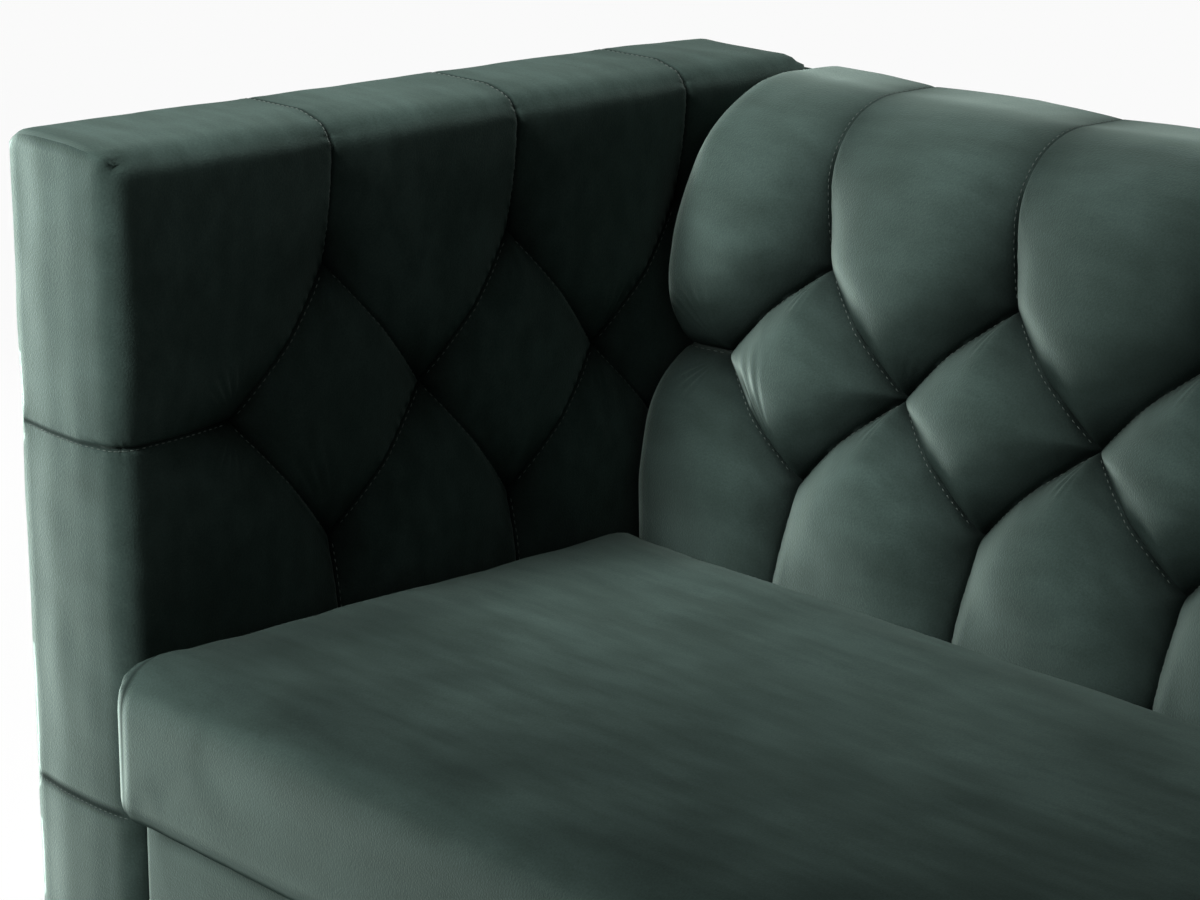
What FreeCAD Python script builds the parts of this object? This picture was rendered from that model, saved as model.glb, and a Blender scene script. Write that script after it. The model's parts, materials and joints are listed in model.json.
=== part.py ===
import FreeCAD, Part
import math
import os
import re

import Sketcher
from FreeCAD import Placement, Rotation, Vector

# Three-seater tuxedo sofa with a diamond-tufted back and arms and a loose bench cushion.
# Millimetres. Floor at Z = 0, front towards -Y, origin under the middle of the outline.

SIZES = [
    ("overall_width", 2100, "outside of one arm to outside of the other"),
    ("overall_height", 840, "floor to the arm top"),
    ("seat_depth", 536, "arm front to the back face, at deck level"),
    ("back_thick", 244, "back face at deck level to the outside back"),
    ("arm_width", 145, "arm, outer face to inner face"),
    ("back_drop", 4, "arm top down to the top of the back"),
    ("frame_clear", 130, "floor to the underside of the frame"),
    ("deck_height", 292, "floor to the deck under the cushion"),
    ("cover_thick", 3, "velvet with its lining on the outside panels"),
    ("board_thick", 4, "outside hardboard panels"),
    ("arm_timber", 60, "arm rails and posts, across the arm"),
    ("post_depth", 45, "arm posts, front to rear"),
    ("top_rail_tall", 45, "top rails of arms and back"),
    ("bottom_rail_tall", 90, "bottom rails of the arms"),
    ("stay_rail_tall", 45, "arm rail at deck level"),
    ("stay_rail_drop", 22, "deck down to the underside of the stay rail"),
    ("ply_thick", 5, "board behind the arm foam"),
    ("arm_pad", 41, "tufted pad on the inner face of an arm"),
    ("front_pad", 25, "pad on the front of an arm"),
    ("top_pad", 25, "pad on the top of the arms and of the back"),
    ("arm_round", 26, "rounded inner edges of an arm"),
    ("arm_edge", 6, "outer top edge of an arm"),
    ("rail_recess", 12, "front rail cover behind the arm fronts"),
    ("seat_rail_thick", 30, "front and rear seat rails"),
    ("stretcher_wide", 60, "centre stretcher"),
    ("stretcher_tall", 60, "stretchers"),
    ("side_stretcher_wide", 32, "left and right stretchers"),
    ("side_stretcher_x", 490, "middle to a side stretcher"),
    ("block_leg", 90, "corner block, along each rail"),
    ("block_tall", 60, "corner block height"),
    ("back_timber", 45, "back frame, front to rear"),
    ("back_rail_low", 45, "frame underside to the back bottom rail"),
    ("back_rail_rise", 38, "top of the back bottom rail above the deck"),
    ("upright_wide", 45, "back uprights"),
    ("strap_thick", 2, "webbing straps"),
    ("strap_wide", 50, "webbing straps"),
    ("hessian_thick", 2, "sheet between straps and foam"),
    ("layer_gap", 0.3, "room between soft layers"),
    ("back_lean", 10.65, "degrees, back face from upright"),
    ("back_pad", 42, "tufted pad of the back, front to rear"),
    ("back_roll", 95, "radius of the rolled top of the back"),
    ("back_rear_edge", 10, "rear top edge of the back"),
    ("back_tuft_pitch", 212.5, "tuft to tuft along the back"),
    ("back_tuft_margin", 45, "least room from an end tuft to the arm"),
    ("back_row_drop", 148, "arm top to the top row of the back"),
    ("back_row_pitch", 95, "row to row on the back"),
    ("back_tuft_deep", 28, "tufts of the back"),
    ("back_seam_deep", 12, "sewn lines from the end tufts of the back"),
    ("back_crown", 9, "pillows of the back, above their edge"),
    ("arm_tuft_pitch", 200, "tuft to tuft along an arm"),
    ("arm_tuft_first", 125, "arm front to the first tuft"),
    ("arm_row_drop", 120, "arm top to the top row of an arm"),
    ("arm_row_pitch", 118, "row to row on an arm"),
    ("arm_tuft_deep", 26, "tufts of an arm"),
    ("arm_seam_deep", 13, "sewn lines from the end tufts of an arm"),
    ("arm_fold_sink", 2, "folds of an arm below its plane"),
    ("panel_rim", 8, "plain rim round a tufted panel"),
    ("tie_wide", 3, "tie tape at a tuft, width"),
    ("tie_thick", 1.5, "tie tape at a tuft, thickness"),
    ("tie_room", 0.5, "slit round a tie"),
    ("toggle_long", 24, "toggle that holds a tie"),
    ("toggle_thick", 4, "toggle that holds a tie"),
    ("deck_cloth", 2, "cloth over the deck"),
    ("deck_pad", 15, "pad of the deck"),
    ("deck_felt", 5, "felt over the springs"),
    ("clip_thick", 1, "spring clips"),
    ("clip_wide", 14, "spring clips"),
    ("clip_long", 20, "spring clips"),
    ("spring_wire", 4, "sinuous springs, wire"),
    ("spring_wide", 44, "sinuous springs, across the loops"),
    ("spring_loop", 78, "sinuous springs, loop to loop"),
    ("spring_pitch", 175, "spring to spring"),
    ("dust_thick", 1.5, "dust cover"),
    ("dust_edge", 6, "dust cover inside the frame's edge"),
    ("plate_side", 54, "leg plates"),
    ("plate_thick", 4, "leg plates"),
    ("leg_top", 52, "leg at the top, square"),
    ("leg_foot", 34, "leg at the foot, square"),
    ("leg_inset", 40, "end of a rail to the middle of a leg"),
    ("bolt_diameter", 8, "hanger bolts"),
    ("bolt_room", 0.3, "room round a bolt or a dowel"),
    ("bolt_in_leg", 30, "hanger bolt in the leg"),
    ("bolt_in_rail", 20, "hanger bolt in the rail"),
    ("dowel_diameter", 10, "dowels of the frame"),
    ("dowel_half", 42, "dowel on each side of its joint"),
    ("dowel_up", 45, "frame underside to a dowel"),
    ("glide_diameter", 24, "foot glides"),
    ("glide_thick", 4, "foot glides"),
    ("cushion_overhang", 24, "cushion front beyond the arm fronts, in the middle"),
    ("cushion_end_overhang", 12, "cushion front beyond the arm fronts, at its ends"),
    ("cushion_thick", 132, "cushion at its edges"),
    ("cushion_crown", 14, "crown of the cushion"),
    ("crown_reach", 170, "edge of the cushion to the top of its crown"),
    ("cushion_edge", 22, "rounded edges of the cushion"),
    ("cushion_corner", 34, "corners of the cushion in plan"),
    ("cushion_draw", 6, "sides of the cushion drawn in between corners"),
    ("cushion_side_gap", 3, "cushion end to the arm"),
    ("cushion_rear_gap", 13, "cushion rear to the plane of the back"),
    ("case_thick", 4, "velvet case of the cushion with its wrap"),
    ("core_room", 0.4, "room between case and foam core"),
    ("zip_inset", 152, "cushion end to the end of its zip"),
    ("zip_tall", 16, "slit of the zip"),
    ("zip_tape", 2.4, "zip tape"),
    ("zip_sink", 2, "zip tape below the rear of the case"),
    ("slider_long", 14, "zip slider"),
    ("slider_tall", 9, "zip slider"),
    ("slider_thick", 3, "zip slider"),
    ("slider_end", 8, "slit's end to the slider, closed"),
]

# Places worked out from the sizes. An x is a distance from the middle plane.
PLACES = [
    ("half_width", "overall_width / 2"),
    ("inner_x", "half_width - arm_width"),
    ("board_x", "half_width - cover_thick"),
    ("timber_x", "board_x - board_thick"),
    ("ply_x", "timber_x - arm_timber"),
    ("foam_x", "ply_x - ply_thick"),
    ("pad_x", "inner_x + arm_pad"),
    ("leg_x", "timber_x - arm_timber / 2"),
    ("arm_depth", "seat_depth + back_thick"),
    ("front_y", "(cushion_overhang - arm_depth) / 2"),
    ("rear_y", "front_y + arm_depth"),
    ("frame_y", "front_y + front_pad"),
    ("rail_y", "frame_y + seat_rail_thick"),
    ("board_y", "rear_y - cover_thick"),
    ("timber_y", "board_y - board_thick"),
    ("upright_y", "timber_y - back_timber"),
    ("rear_rail_y", "upright_y - seat_rail_thick"),
    ("strap_y", "upright_y - strap_thick"),
    ("cross_y", "strap_y - strap_thick"),
    ("hessian_y", "cross_y - hessian_thick"),
    ("arm_end_y", "hessian_y - layer_gap"),
    ("back_foot_y", "front_y + seat_depth"),
    ("timber_top", "overall_height - top_pad"),
    ("back_top", "overall_height - back_drop"),
    ("back_timber_top", "back_top - top_pad"),
    ("bottom_rail_top", "frame_clear + bottom_rail_tall"),
    ("stay_low", "deck_height - stay_rail_drop"),
    ("felt_low", "deck_height - deck_cloth - deck_pad - deck_felt"),
    ("rail_top", "felt_low - clip_thick - spring_wire"),
    ("back_rail_z", "frame_clear + back_rail_low"),
    ("upright_low", "deck_height + back_rail_rise"),
    ("upright_top", "back_timber_top - top_rail_tall"),
    ("leg_high", "frame_clear - plate_thick"),
    ("leg_foot_half", "leg_foot / 2"),
    ("bolt_bore", "bolt_diameter + 2 * bolt_room"),
    ("front_leg_y", "frame_y + leg_inset"),
    ("rear_leg_y", "timber_y - leg_inset"),
    ("mid_front_leg_y", "rail_y + leg_inset"),
    ("mid_rear_leg_y", "rear_rail_y - leg_inset"),
    ("dowel_z", "frame_clear + dowel_up"),
    ("front_dowel_y", "rail_y - seat_rail_thick / 2"),
    ("rear_dowel_y", "upright_y - seat_rail_thick / 2"),
    ("wedge_low_y", "back_foot_y + back_pad"),
    ("wedge_top_y", "wedge_low_y + (back_timber_top - deck_height) * tan(back_lean * 1deg)"),
]

NAMED = {alias: "Sizes." for alias, value, note in SIZES}
NAMED.update({alias: "Places." for alias, formula in PLACES})


def q(text):
    """A formula over the named values, with the sheet before each name."""
    return re.sub(r"[a-z_]{3,}", lambda m: NAMED.get(m.group(0), "") + m.group(0), text)


doc = FreeCAD.newDocument("Sofa")
sizes = doc.addObject("Spreadsheet::Sheet", "Sizes")
for row, (alias, value, note) in enumerate(SIZES, 1):
    sizes.set(f"A{row}", note)
    sizes.set(f"B{row}", str(value))
    sizes.setAlias(f"B{row}", alias)
doc.recompute()
places = doc.addObject("Spreadsheet::Sheet", "Places")
for row, (alias, formula) in enumerate(PLACES, 1):
    places.set(f"A{row}", formula)
    places.setAlias(f"B{row}", alias)
for row, (alias, formula) in enumerate(PLACES, 1):
    places.set(f"B{row}", "=" + q(formula).replace("Places.", ""))
doc.recompute()


def val(alias):
    """A named value as a number."""
    sheet = sizes if NAMED[alias] == "Sizes." else places
    return float(sheet.get(alias))


NODES = []


def node(piece, label):
    piece.Label = label
    NODES.append(piece)
    return piece


def block(name, xs, ys, zs):
    """A squared timber, board or sheet between two formulas on each axis."""
    piece = doc.addObject("Part::Box", name)
    spans = (("Length", "x", xs), ("Width", "y", ys), ("Height", "z", zs))
    for size, axis, (low, high) in spans:
        piece.setExpression(size, q(f"({high}) - ({low})"))
        piece.setExpression("Placement.Base." + axis, q(low))
    return piece


def rod(name, diameter, length, at, turn=None):
    """A round bar standing on a point, or lying along X after a turn about Y."""
    piece = doc.addObject("Part::Cylinder", name)
    piece.setExpression("Radius", q(f"({diameter}) / 2"))
    piece.setExpression("Height", q(length))
    if turn:
        piece.Placement = Placement(Vector(), Rotation(Vector(0, 1, 0), turn))
    for axis, formula in zip("xyz", at):
        piece.setExpression("Placement.Base." + axis, q(formula))
    return piece


def group(name, pieces):
    whole = doc.addObject("Part::Compound", name)
    whole.Links = pieces
    return whole


def cut(name, base, tools):
    """A piece with holes or slits cut in it."""
    piece = doc.addObject("Part::Cut", name)
    piece.Base = base
    piece.Tool = tools[0] if len(tools) == 1 else group(name + "_cutters", tools)
    return piece


def solid(name, shape):
    piece = doc.addObject("Part::Feature", name)
    piece.Shape = shape
    piece.Placement = Placement()
    return piece


def across(side, inner, outer):
    """The span in X of a piece of one side, from its inner to its outer face."""
    if side == "left":
        return (f"-({outer})", f"-({inner})")
    return (inner, outer)


def signed(text):
    """A named value, with a minus sign before the name or without; an empty name is zero."""
    if text.startswith("-"):
        return -val(text[1:])
    return val(text) if text else 0.0


def profile(body, name, role, points):
    """A closed outline of lines whose corners are bound to named values."""
    sketch = body.newObject("Sketcher::SketchObject", name)
    plane = [f for f in body.Origin.OriginFeatures if f.Role == role][0]
    sketch.AttachmentSupport = [(plane, "")]
    sketch.MapMode = "FlatFace"
    flat = [[signed(c) for c in point] for point in points]
    count = len(points)
    for i in range(count):
        start = Vector(flat[i][0], flat[i][1], 0)
        end = Vector(flat[(i + 1) % count][0], flat[(i + 1) % count][1], 0)
        sketch.addGeometry(Part.LineSegment(start, end), False)
    for i in range(count):
        sketch.addConstraint(Sketcher.Constraint("Coincident", i, 2, (i + 1) % count, 1))
    for i, point in enumerate(points):
        for kind, axis, alias, number in (
            ("DistanceX", -2, point[0], flat[i][0]),
            ("DistanceY", -1, point[1], flat[i][1]),
        ):
            if not alias:
                sketch.addConstraint(Sketcher.Constraint("PointOnObject", i, 1, axis))
                continue
            at = sketch.addConstraint(Sketcher.Constraint(kind, -1, 1, i, 1, number))
            sketch.setExpression(f"Constraints[{at}]", q(alias))
    return sketch


# Seat frame and arm frames

SIDES = ("left", "right")
LEG_SPOTS = [
    ("front_left_leg", "-leg_x", "front_leg_y"),
    ("front_right_leg", "leg_x", "front_leg_y"),
    ("rear_left_leg", "-leg_x", "rear_leg_y"),
    ("rear_right_leg", "leg_x", "rear_leg_y"),
    ("front_centre_leg", "0", "mid_front_leg_y"),
    ("rear_centre_leg", "0", "mid_rear_leg_y"),
]


def leg_bores(name, spots):
    """Room for the hanger bolts in the underside of a rail."""
    depth = "bolt_in_rail + 2 * bolt_room"
    return [
        rod(f"{name}_bore_{i}", "bolt_bore", depth, (x, y, "frame_clear"))
        for i, (x, y) in enumerate(spots)
    ]


def dowel(name, side, y, room):
    """A dowel across the joint of an arm rail and a seat rail, or the bore for it."""
    turn = 90 if side == "left" else -90
    start = "-(ply_x + dowel_half" if side == "left" else "(ply_x + dowel_half"
    at = (f"{start} + {room})", y, "dowel_z")
    return rod(name, f"dowel_diameter + 2 * {room}", f"2 * (dowel_half + {room})", at, turn)


for side in SIDES:
    sign = "-" if side == "left" else ""
    timber = across(side, "ply_x", "timber_x")
    rail = block(f"{side}_bottom_blank", timber, ("frame_y", "timber_y"), ("frame_clear", "bottom_rail_top"))
    spots = [(f"{sign}leg_x", "front_leg_y"), (f"{sign}leg_x", "rear_leg_y")]
    tools = leg_bores(f"{side}_bottom", spots)
    tools.append(dowel(f"{side}_bottom_front_bore", side, "front_dowel_y", "bolt_room"))
    tools.append(dowel(f"{side}_bottom_rear_bore", side, "rear_dowel_y", "bolt_room"))
    node(cut(f"{side}_bottom", rail, tools), f"{side}_arm_bottom_rail")
    post = ("bottom_rail_top", "timber_top")
    front_post = ("frame_y", "frame_y + post_depth")
    rear_post = ("timber_y - post_depth", "timber_y")
    between = ("frame_y + post_depth", "timber_y - post_depth")
    node(block(f"{side}_front_post", timber, front_post, post), f"{side}_arm_front_post")
    node(block(f"{side}_rear_post", timber, rear_post, post), f"{side}_arm_rear_post")
    high = ("timber_top - top_rail_tall", "timber_top")
    node(block(f"{side}_top_rail", timber, between, high), f"{side}_arm_top_rail")
    stay = ("stay_low", "stay_low + stay_rail_tall")
    node(block(f"{side}_stay_rail", timber, between, stay), f"{side}_arm_stay_rail")
    skin = across(side, "timber_x", "board_x")
    wall = ("frame_clear", "timber_top")
    node(block(f"{side}_outer_board", skin, ("frame_y", "board_y"), wall), f"{side}_arm_outer_board")
    velvet = across(side, "board_x", "half_width")
    outside = ("frame_clear", "overall_height - arm_edge")
    node(
        block(f"{side}_outside_cover", velvet, ("front_y + cover_thick", "rear_y"), outside),
        f"{side}_outside_arm_cover",
    )

long_span = ("-ply_x", "ply_x")
rail_high = ("frame_clear", "rail_top")
front_blank = block("front_rail_blank", long_span, ("frame_y", "rail_y"), rail_high)
tools = [dowel(f"front_rail_{side}_bore", side, "front_dowel_y", "bolt_room") for side in SIDES]
node(cut("front_rail_cut", front_blank, tools), "front_rail")
rear_blank = block("rear_rail_blank", long_span, ("rear_rail_y", "upright_y"), rail_high)
tools = [dowel(f"rear_rail_{side}_bore", side, "rear_dowel_y", "bolt_room") for side in SIDES]
node(cut("rear_rail_cut", rear_blank, tools), "rear_seat_rail")

rail_gap = ("rail_y", "rear_rail_y")
stretcher = ("frame_clear", "frame_clear + stretcher_tall")
half = "stretcher_wide / 2"
centre = block("centre_blank", (f"-{half}", half), rail_gap, stretcher)
spots = [("0", "mid_front_leg_y"), ("0", "mid_rear_leg_y")]
node(cut("centre_cut", centre, leg_bores("centre", spots)), "centre_stretcher")
for side in SIDES:
    inner = "side_stretcher_x - side_stretcher_wide / 2"
    outer = "side_stretcher_x + side_stretcher_wide / 2"
    node(block(f"{side}_stretch", across(side, inner, outer), rail_gap, stretcher), f"{side}_stretcher")


def corner_block(name, turn, x, y):
    """A triangular block glued into a corner of the seat frame."""
    body = doc.addObject("PartDesign::Body", name)
    corners = [("", ""), ("block_leg", ""), ("", "block_leg")]
    sketch = profile(body, name + "_outline", "XY_Plane", corners)
    pad = body.newObject("PartDesign::Pad", name + "_pad")
    pad.Profile = sketch
    pad.setExpression("Length", q("block_tall"))
    body.Placement = Placement(Vector(), Rotation(Vector(0, 0, 1), turn))
    for axis, formula in zip("xyz", (x, y, "frame_clear")):
        body.setExpression("Placement.Base." + axis, q(formula))
    return body


blocks = [
    corner_block("block_front_left", 0, "-ply_x", "rail_y"),
    corner_block("block_front_right", 90, "ply_x", "rail_y"),
    corner_block("block_rear_right", 180, "ply_x", "rear_rail_y"),
    corner_block("block_rear_left", 270, "-ply_x", "rear_rail_y"),
]
node(group("blocks", blocks), "corner_blocks")

# Back frame

back_depth = ("upright_y", "timber_y")
low_rail = ("back_rail_z", "upright_low")
node(block("back_low", long_span, back_depth, low_rail), "back_bottom_rail")
high_rail = ("upright_top", "back_timber_top")
node(block("back_high", long_span, back_depth, high_rail), "back_top_rail")
uprights = []
for share in ("-2.75", "-0.75", "0.75", "2.75"):
    middle = f"{share} * back_tuft_pitch"
    span = (f"{middle} - upright_wide / 2", f"{middle} + upright_wide / 2")
    uprights.append(block(f"upright_{len(uprights)}", span, back_depth, ("upright_low", "upright_top")))
node(group("uprights", uprights), "back_uprights")

node(
    block("back_skin", ("-timber_x", "timber_x"), ("timber_y", "board_y"), ("frame_clear", "back_timber_top")),
    "back_outer_board",
)
node(
    block(
        "back_velvet",
        ("-board_x", "board_x"),
        ("board_y", "rear_y"),
        ("frame_clear", "back_top - back_rear_edge"),
    ),
    "outside_back_cover",
)

straps = []
strap_high = ("upright_low - strap_wide", "back_timber_top - layer_gap")
for share in ("-3.25", "-2.25", "-1.25", "-0.25", "0.25", "1.25", "2.25", "3.25"):
    middle = f"{share} * back_tuft_pitch"
    span = (f"{middle} - strap_wide / 2", f"{middle} + strap_wide / 2")
    straps.append(block(f"strap_{len(straps)}", span, ("strap_y", "upright_y"), strap_high))
node(group("straps", straps), "back_straps")
crosses = []
for share in ("0.5", "1.5", "2.5"):
    middle = f"overall_height - back_row_drop - {share} * back_row_pitch"
    span = (f"{middle} - strap_wide / 2", f"{middle} + strap_wide / 2")
    crosses.append(block(f"cross_{len(crosses)}", long_span, ("cross_y", "strap_y"), span))
node(group("crosses", crosses), "back_cross_straps")

# Tufted pads: rows of tufts joined by sewn lines, with a pillow in each diamond


class Lattice:
    """Tufts in three rows, the middle one half a pitch out, on a rectangle of a plane."""

    def __init__(self, origin, along, up, out, width, height, first, pitch, count, rows):
        self.origin = origin
        self.along = along
        self.up = up
        self.out = out
        self.width = width
        self.height = height
        self.middle = [(first + pitch * i, rows[1]) for i in range(count + 1)]
        self.high = [(first + pitch * (i + 0.5), rows[0]) for i in range(count)]
        self.low = [(first + pitch * (i + 0.5), rows[2]) for i in range(count)]

    def tufts(self):
        return self.high + self.middle + self.low

    def point(self, place, height):
        return self.origin + self.along * place[0] + self.up * place[1] + self.out * height


def surface(rows):
    """A smooth face from rows of poles."""
    face = Part.BezierSurface()
    face.increase(len(rows) - 1, len(rows[0]) - 1)
    for i, row in enumerate(rows):
        for j, pole in enumerate(row):
            face.setPole(i + 1, j + 1, pole)
    return face.toShape()


def diamond(lattice, corners, tuft, crown):
    """A pillow between four tufts: straight sewn edges, and a dome that rises to its crown."""
    a, b, c, d = [lattice.point(corner, -tuft) for corner in corners]
    middle = [sum(corner[k] for corner in corners) / 4 for k in (0, 1)]
    dome = lattice.point(middle, 4 * (crown + tuft) - tuft)
    rows = [
        [a, (a + d) * 0.5, d],
        [(a + b) * 0.5, dome, (d + c) * 0.5],
        [b, (b + c) * 0.5, c],
    ]
    return surface(rows)


def quad(lattice, corners, heights):
    """One side of a fold, as two flat facets that meet along the second and fourth corner."""
    a, b, c, d = [lattice.point(corner, height) for corner, height in zip(corners, heights)]
    return [Part.Face(Part.makePolygon([p, q_, r, p])) for p, q_, r in ((a, b, d), (b, c, d))]


FOLD_SHARE = 0.4


def toward(start, end):
    """The place of a fold's highest or deepest point, between a tuft and the panel's edge."""
    return tuple(a + (b - a) * FOLD_SHARE for a, b in zip(start, end))


def tufted_fields(lattice, tuft, seam, crown, ridge):
    """All the fields of a tufted panel; its four outer edges stay in the plane. Between the end
    rows and the panel's edge the cloth stands in folds, with a sewn line from each tuft."""
    fields = []
    count = len(lattice.high)
    for i in range(count):
        corners = [lattice.middle[i], lattice.low[i], lattice.middle[i + 1], lattice.high[i]]
        fields.append(diamond(lattice, corners, tuft, crown))
    for row, edge in ((lattice.high, lattice.height), (lattice.low, 0.0)):
        for i in range(count):
            end = row[i]
            end_edge = (end[0], edge)
            sewn = toward(end, end_edge)
            for mid in (lattice.middle[i], lattice.middle[i + 1]):
                mid_edge = (mid[0], edge)
                top = toward(mid, mid_edge)
                fields.extend(quad(lattice, [mid, end, sewn, top], [-tuft, -tuft, -seam, ridge]))
                fields.extend(quad(lattice, [top, sewn, end_edge, mid_edge], [ridge, -seam, 0, 0]))
        for mid, side in ((lattice.middle[0], 0.0), (lattice.middle[-1], lattice.width)):
            mid_edge = (mid[0], edge)
            top = toward(mid, mid_edge)
            level = (side, mid[1])
            corner = (side, edge)
            rim_top = toward(level, corner)
            fields.extend(quad(lattice, [level, mid, top, rim_top], [0, -tuft, ridge, 0]))
            fields.extend(quad(lattice, [rim_top, top, mid_edge, corner], [0, ridge, 0, 0]))
    return fields


def sew_fields(base, lattice, fields):
    """The base solid with the fields sewn into the flat face that the lattice lies on."""
    flat = None
    middle = lattice.point((lattice.width / 2, lattice.height / 2), 0)
    for face in base.Faces:
        if face.Surface.TypeId != "Part::GeomPlane":
            continue
        if face.distToShape(Part.Vertex(middle))[0] < 1e-6 and abs(face.normalAt(0, 0).dot(lattice.out)) > 0.999:
            flat = face
    rim = []
    for field in fields:
        for edge in field.Edges:
            halfway = edge.valueAt((edge.FirstParameter + edge.LastParameter) / 2) - lattice.origin
            u = halfway.dot(lattice.along)
            v = halfway.dot(lattice.up)
            if min(abs(u), abs(u - lattice.width), abs(v), abs(v - lattice.height)) < 1e-5:
                rim.append(edge)
    hole = Part.Wire(Part.__sortEdges__(rim))
    border = Part.makeFace([flat.OuterWire, hole], "Part::FaceMakerBullseye")
    shell = Part.makeShell([f for f in base.Faces if not f.isSame(flat)] + border.Faces + fields)
    shell.sewShape()
    whole = Part.Solid(shell)
    if whole.Volume < 0:
        whole.reverse()
    return whole


inner_x = val("inner_x")
front_y = val("front_y")
arm_top = val("overall_height")
deck = val("deck_height")
frame_low = val("frame_clear")
pad_x = val("pad_x")
board_x = val("board_x")
arm_end = val("arm_end_y")
rim = val("panel_rim")


def box(xs, ys, zs):
    size = [b - a for a, b in (xs, ys, zs)]
    return Part.makeBox(size[0], size[1], size[2], Vector(xs[0], ys[0], zs[0]))


def edges_at(shape, points):
    """The edges whose middle lies at one of the points."""
    found = []
    for edge in shape.Edges:
        middle = edge.valueAt((edge.FirstParameter + edge.LastParameter) / 2)
        if any((middle - p).Length < 1e-6 for p in points):
            found.append(edge)
    return found


def arm_lattice():
    """Tufts on the inner face of the left arm, counted from the front."""
    low = deck + rim
    start = front_y + val("arm_round") + rim
    width = arm_end - rim - start
    height = arm_top - val("arm_round") - rim - low
    pitch = val("arm_tuft_pitch")
    first = front_y + val("arm_tuft_first") - start
    count = int((width - first - rim) // pitch)
    rows = [arm_top - val("arm_row_drop") - val("arm_row_pitch") * i - low for i in range(3)]
    origin = Vector(-inner_x, start, low)
    return Lattice(
        origin, Vector(0, 1, 0), Vector(0, 0, 1), Vector(1, 0, 0), width, height, first, pitch, count, rows
    )


def arm_cover():
    """The left arm's cover: padded front, tufted inner face and top in one piece."""
    rear = val("board_y")
    outer = box((-board_x, -inner_x), (front_y, rear), (frame_low, arm_top))
    middle_y = (front_y + rear) / 2
    middle_z = (frame_low + arm_top) / 2
    soft = edges_at(outer, [Vector(-inner_x, middle_y, arm_top), Vector(-inner_x, front_y, middle_z)])
    outer = outer.makeFillet(val("arm_round"), soft)
    crisp = edges_at(outer, [Vector(-board_x, middle_y, arm_top)])
    outer = outer.makeFillet(val("arm_edge"), crisp)
    frame_y = val("frame_y")
    room = [
        box((-board_x, -pad_x), (frame_y, rear), (frame_low, val("timber_top"))),
        box((-pad_x, -inner_x), (frame_y, rear), (frame_low, deck)),
        box((-pad_x, -inner_x), (arm_end, rear), (deck, val("timber_top"))),
    ]
    for space in room:
        outer = outer.cut(space)
    base = outer.Solids[0]
    lattice = arm_lattice()
    deep = val("arm_tuft_deep")
    fields = tufted_fields(lattice, deep, val("arm_seam_deep"), 0.0, -val("arm_fold_sink"))
    return sew_fields(base, lattice, fields)


MIDDLE = Vector(0, 0, 0)
ACROSS = Vector(1, 0, 0)
left_cover = arm_cover()
node(solid("left_cover", left_cover), "left_arm_cover")
node(solid("right_cover", left_cover.mirror(MIDDLE, ACROSS)), "right_arm_cover")

# Ties of the arms: a tape from the pad through foam and board to a toggle

tie_wide = val("tie_wide")
tie_thick = val("tie_thick")
tie_room = val("tie_room")
toggle_long = val("toggle_long")
toggle_thick = val("toggle_thick")


def centred(middle, size):
    return (middle - size / 2, middle + size / 2)


def arm_ties(grow, toggles):
    """The tapes of the left arm, or the slits they pass through."""
    found = []
    lattice = arm_lattice()
    ply_x = val("ply_x")
    for tuft in lattice.tufts():
        at = lattice.point(tuft, 0)
        ys = centred(at.y, tie_wide + 2 * grow)
        zs = centred(at.z, tie_thick + 2 * grow)
        tie = box((-ply_x - grow, -pad_x + grow), ys, zs)
        if toggles:
            bar = box((-ply_x - toggle_thick, -ply_x), centred(at.y, toggle_long), centred(at.z, toggle_thick))
            tie = tie.fuse(bar).removeSplitter()
        found += tie.Solids
    return found


left_ties = arm_ties(0.0, True)
right_ties = [tie.mirror(MIDDLE, ACROSS) for tie in left_ties]
node(solid("arm_ties", Part.makeCompound(left_ties + right_ties)), "arm_tuft_ties")
left_slits = Part.makeCompound(arm_ties(tie_room, False))
slits = {"left": left_slits, "right": left_slits.mirror(MIDDLE, ACROSS)}
for side in SIDES:
    high = ("deck_height", "timber_top")
    deep = ("frame_y", "arm_end_y")
    foam = block(f"{side}_foam_blank", across(side, "pad_x", "foam_x"), deep, high)
    ply = block(f"{side}_ply_blank", across(side, "foam_x", "ply_x"), deep, high)
    node(cut(f"{side}_foam", foam, [solid(f"{side}_foam_slits", slits[side])]), f"{side}_arm_foam")
    node(cut(f"{side}_ply", ply, [solid(f"{side}_ply_slits", slits[side])]), f"{side}_arm_inner_board")

# Tufted back

lean = math.radians(val("back_lean"))
back_foot_y = val("back_foot_y")
back_top = val("back_top")
layer = val("layer_gap")
back_half = inner_x - layer
back_low = deck + layer


def back_y(z):
    """The plane of the back's front face."""
    return back_foot_y + (z - deck) * math.tan(lean)


def back_section():
    """Outline of the back pad: face, rolled top and the return over the top rail."""
    roll = val("back_roll")
    centre_z = back_top - roll
    start_z = centre_z + roll * math.sin(lean)
    centre_y = back_y(start_z) + roll * math.cos(lean)
    start = Vector(0, back_y(start_z), start_z)
    top = Vector(0, centre_y, back_top)
    half_turn = (math.pi / 2 + lean) / 2
    bulge = Vector(0, centre_y - roll * math.cos(half_turn), centre_z + roll * math.sin(half_turn))
    rear = val("board_y")
    under = back_top - val("top_pad")
    pad = val("back_pad")
    foot = Vector(0, back_y(back_low), back_low)
    corners = [
        top,
        Vector(0, rear, back_top),
        Vector(0, rear, under),
        Vector(0, back_y(under) + pad, under),
        Vector(0, back_y(back_low) + pad, back_low),
        foot,
        start,
    ]
    edges = [Part.LineSegment(a, b).toShape() for a, b in zip(corners, corners[1:])]
    edges.append(Part.Arc(start, bulge, top).toShape())
    return Part.Face(Part.Wire(edges)), start_z


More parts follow.
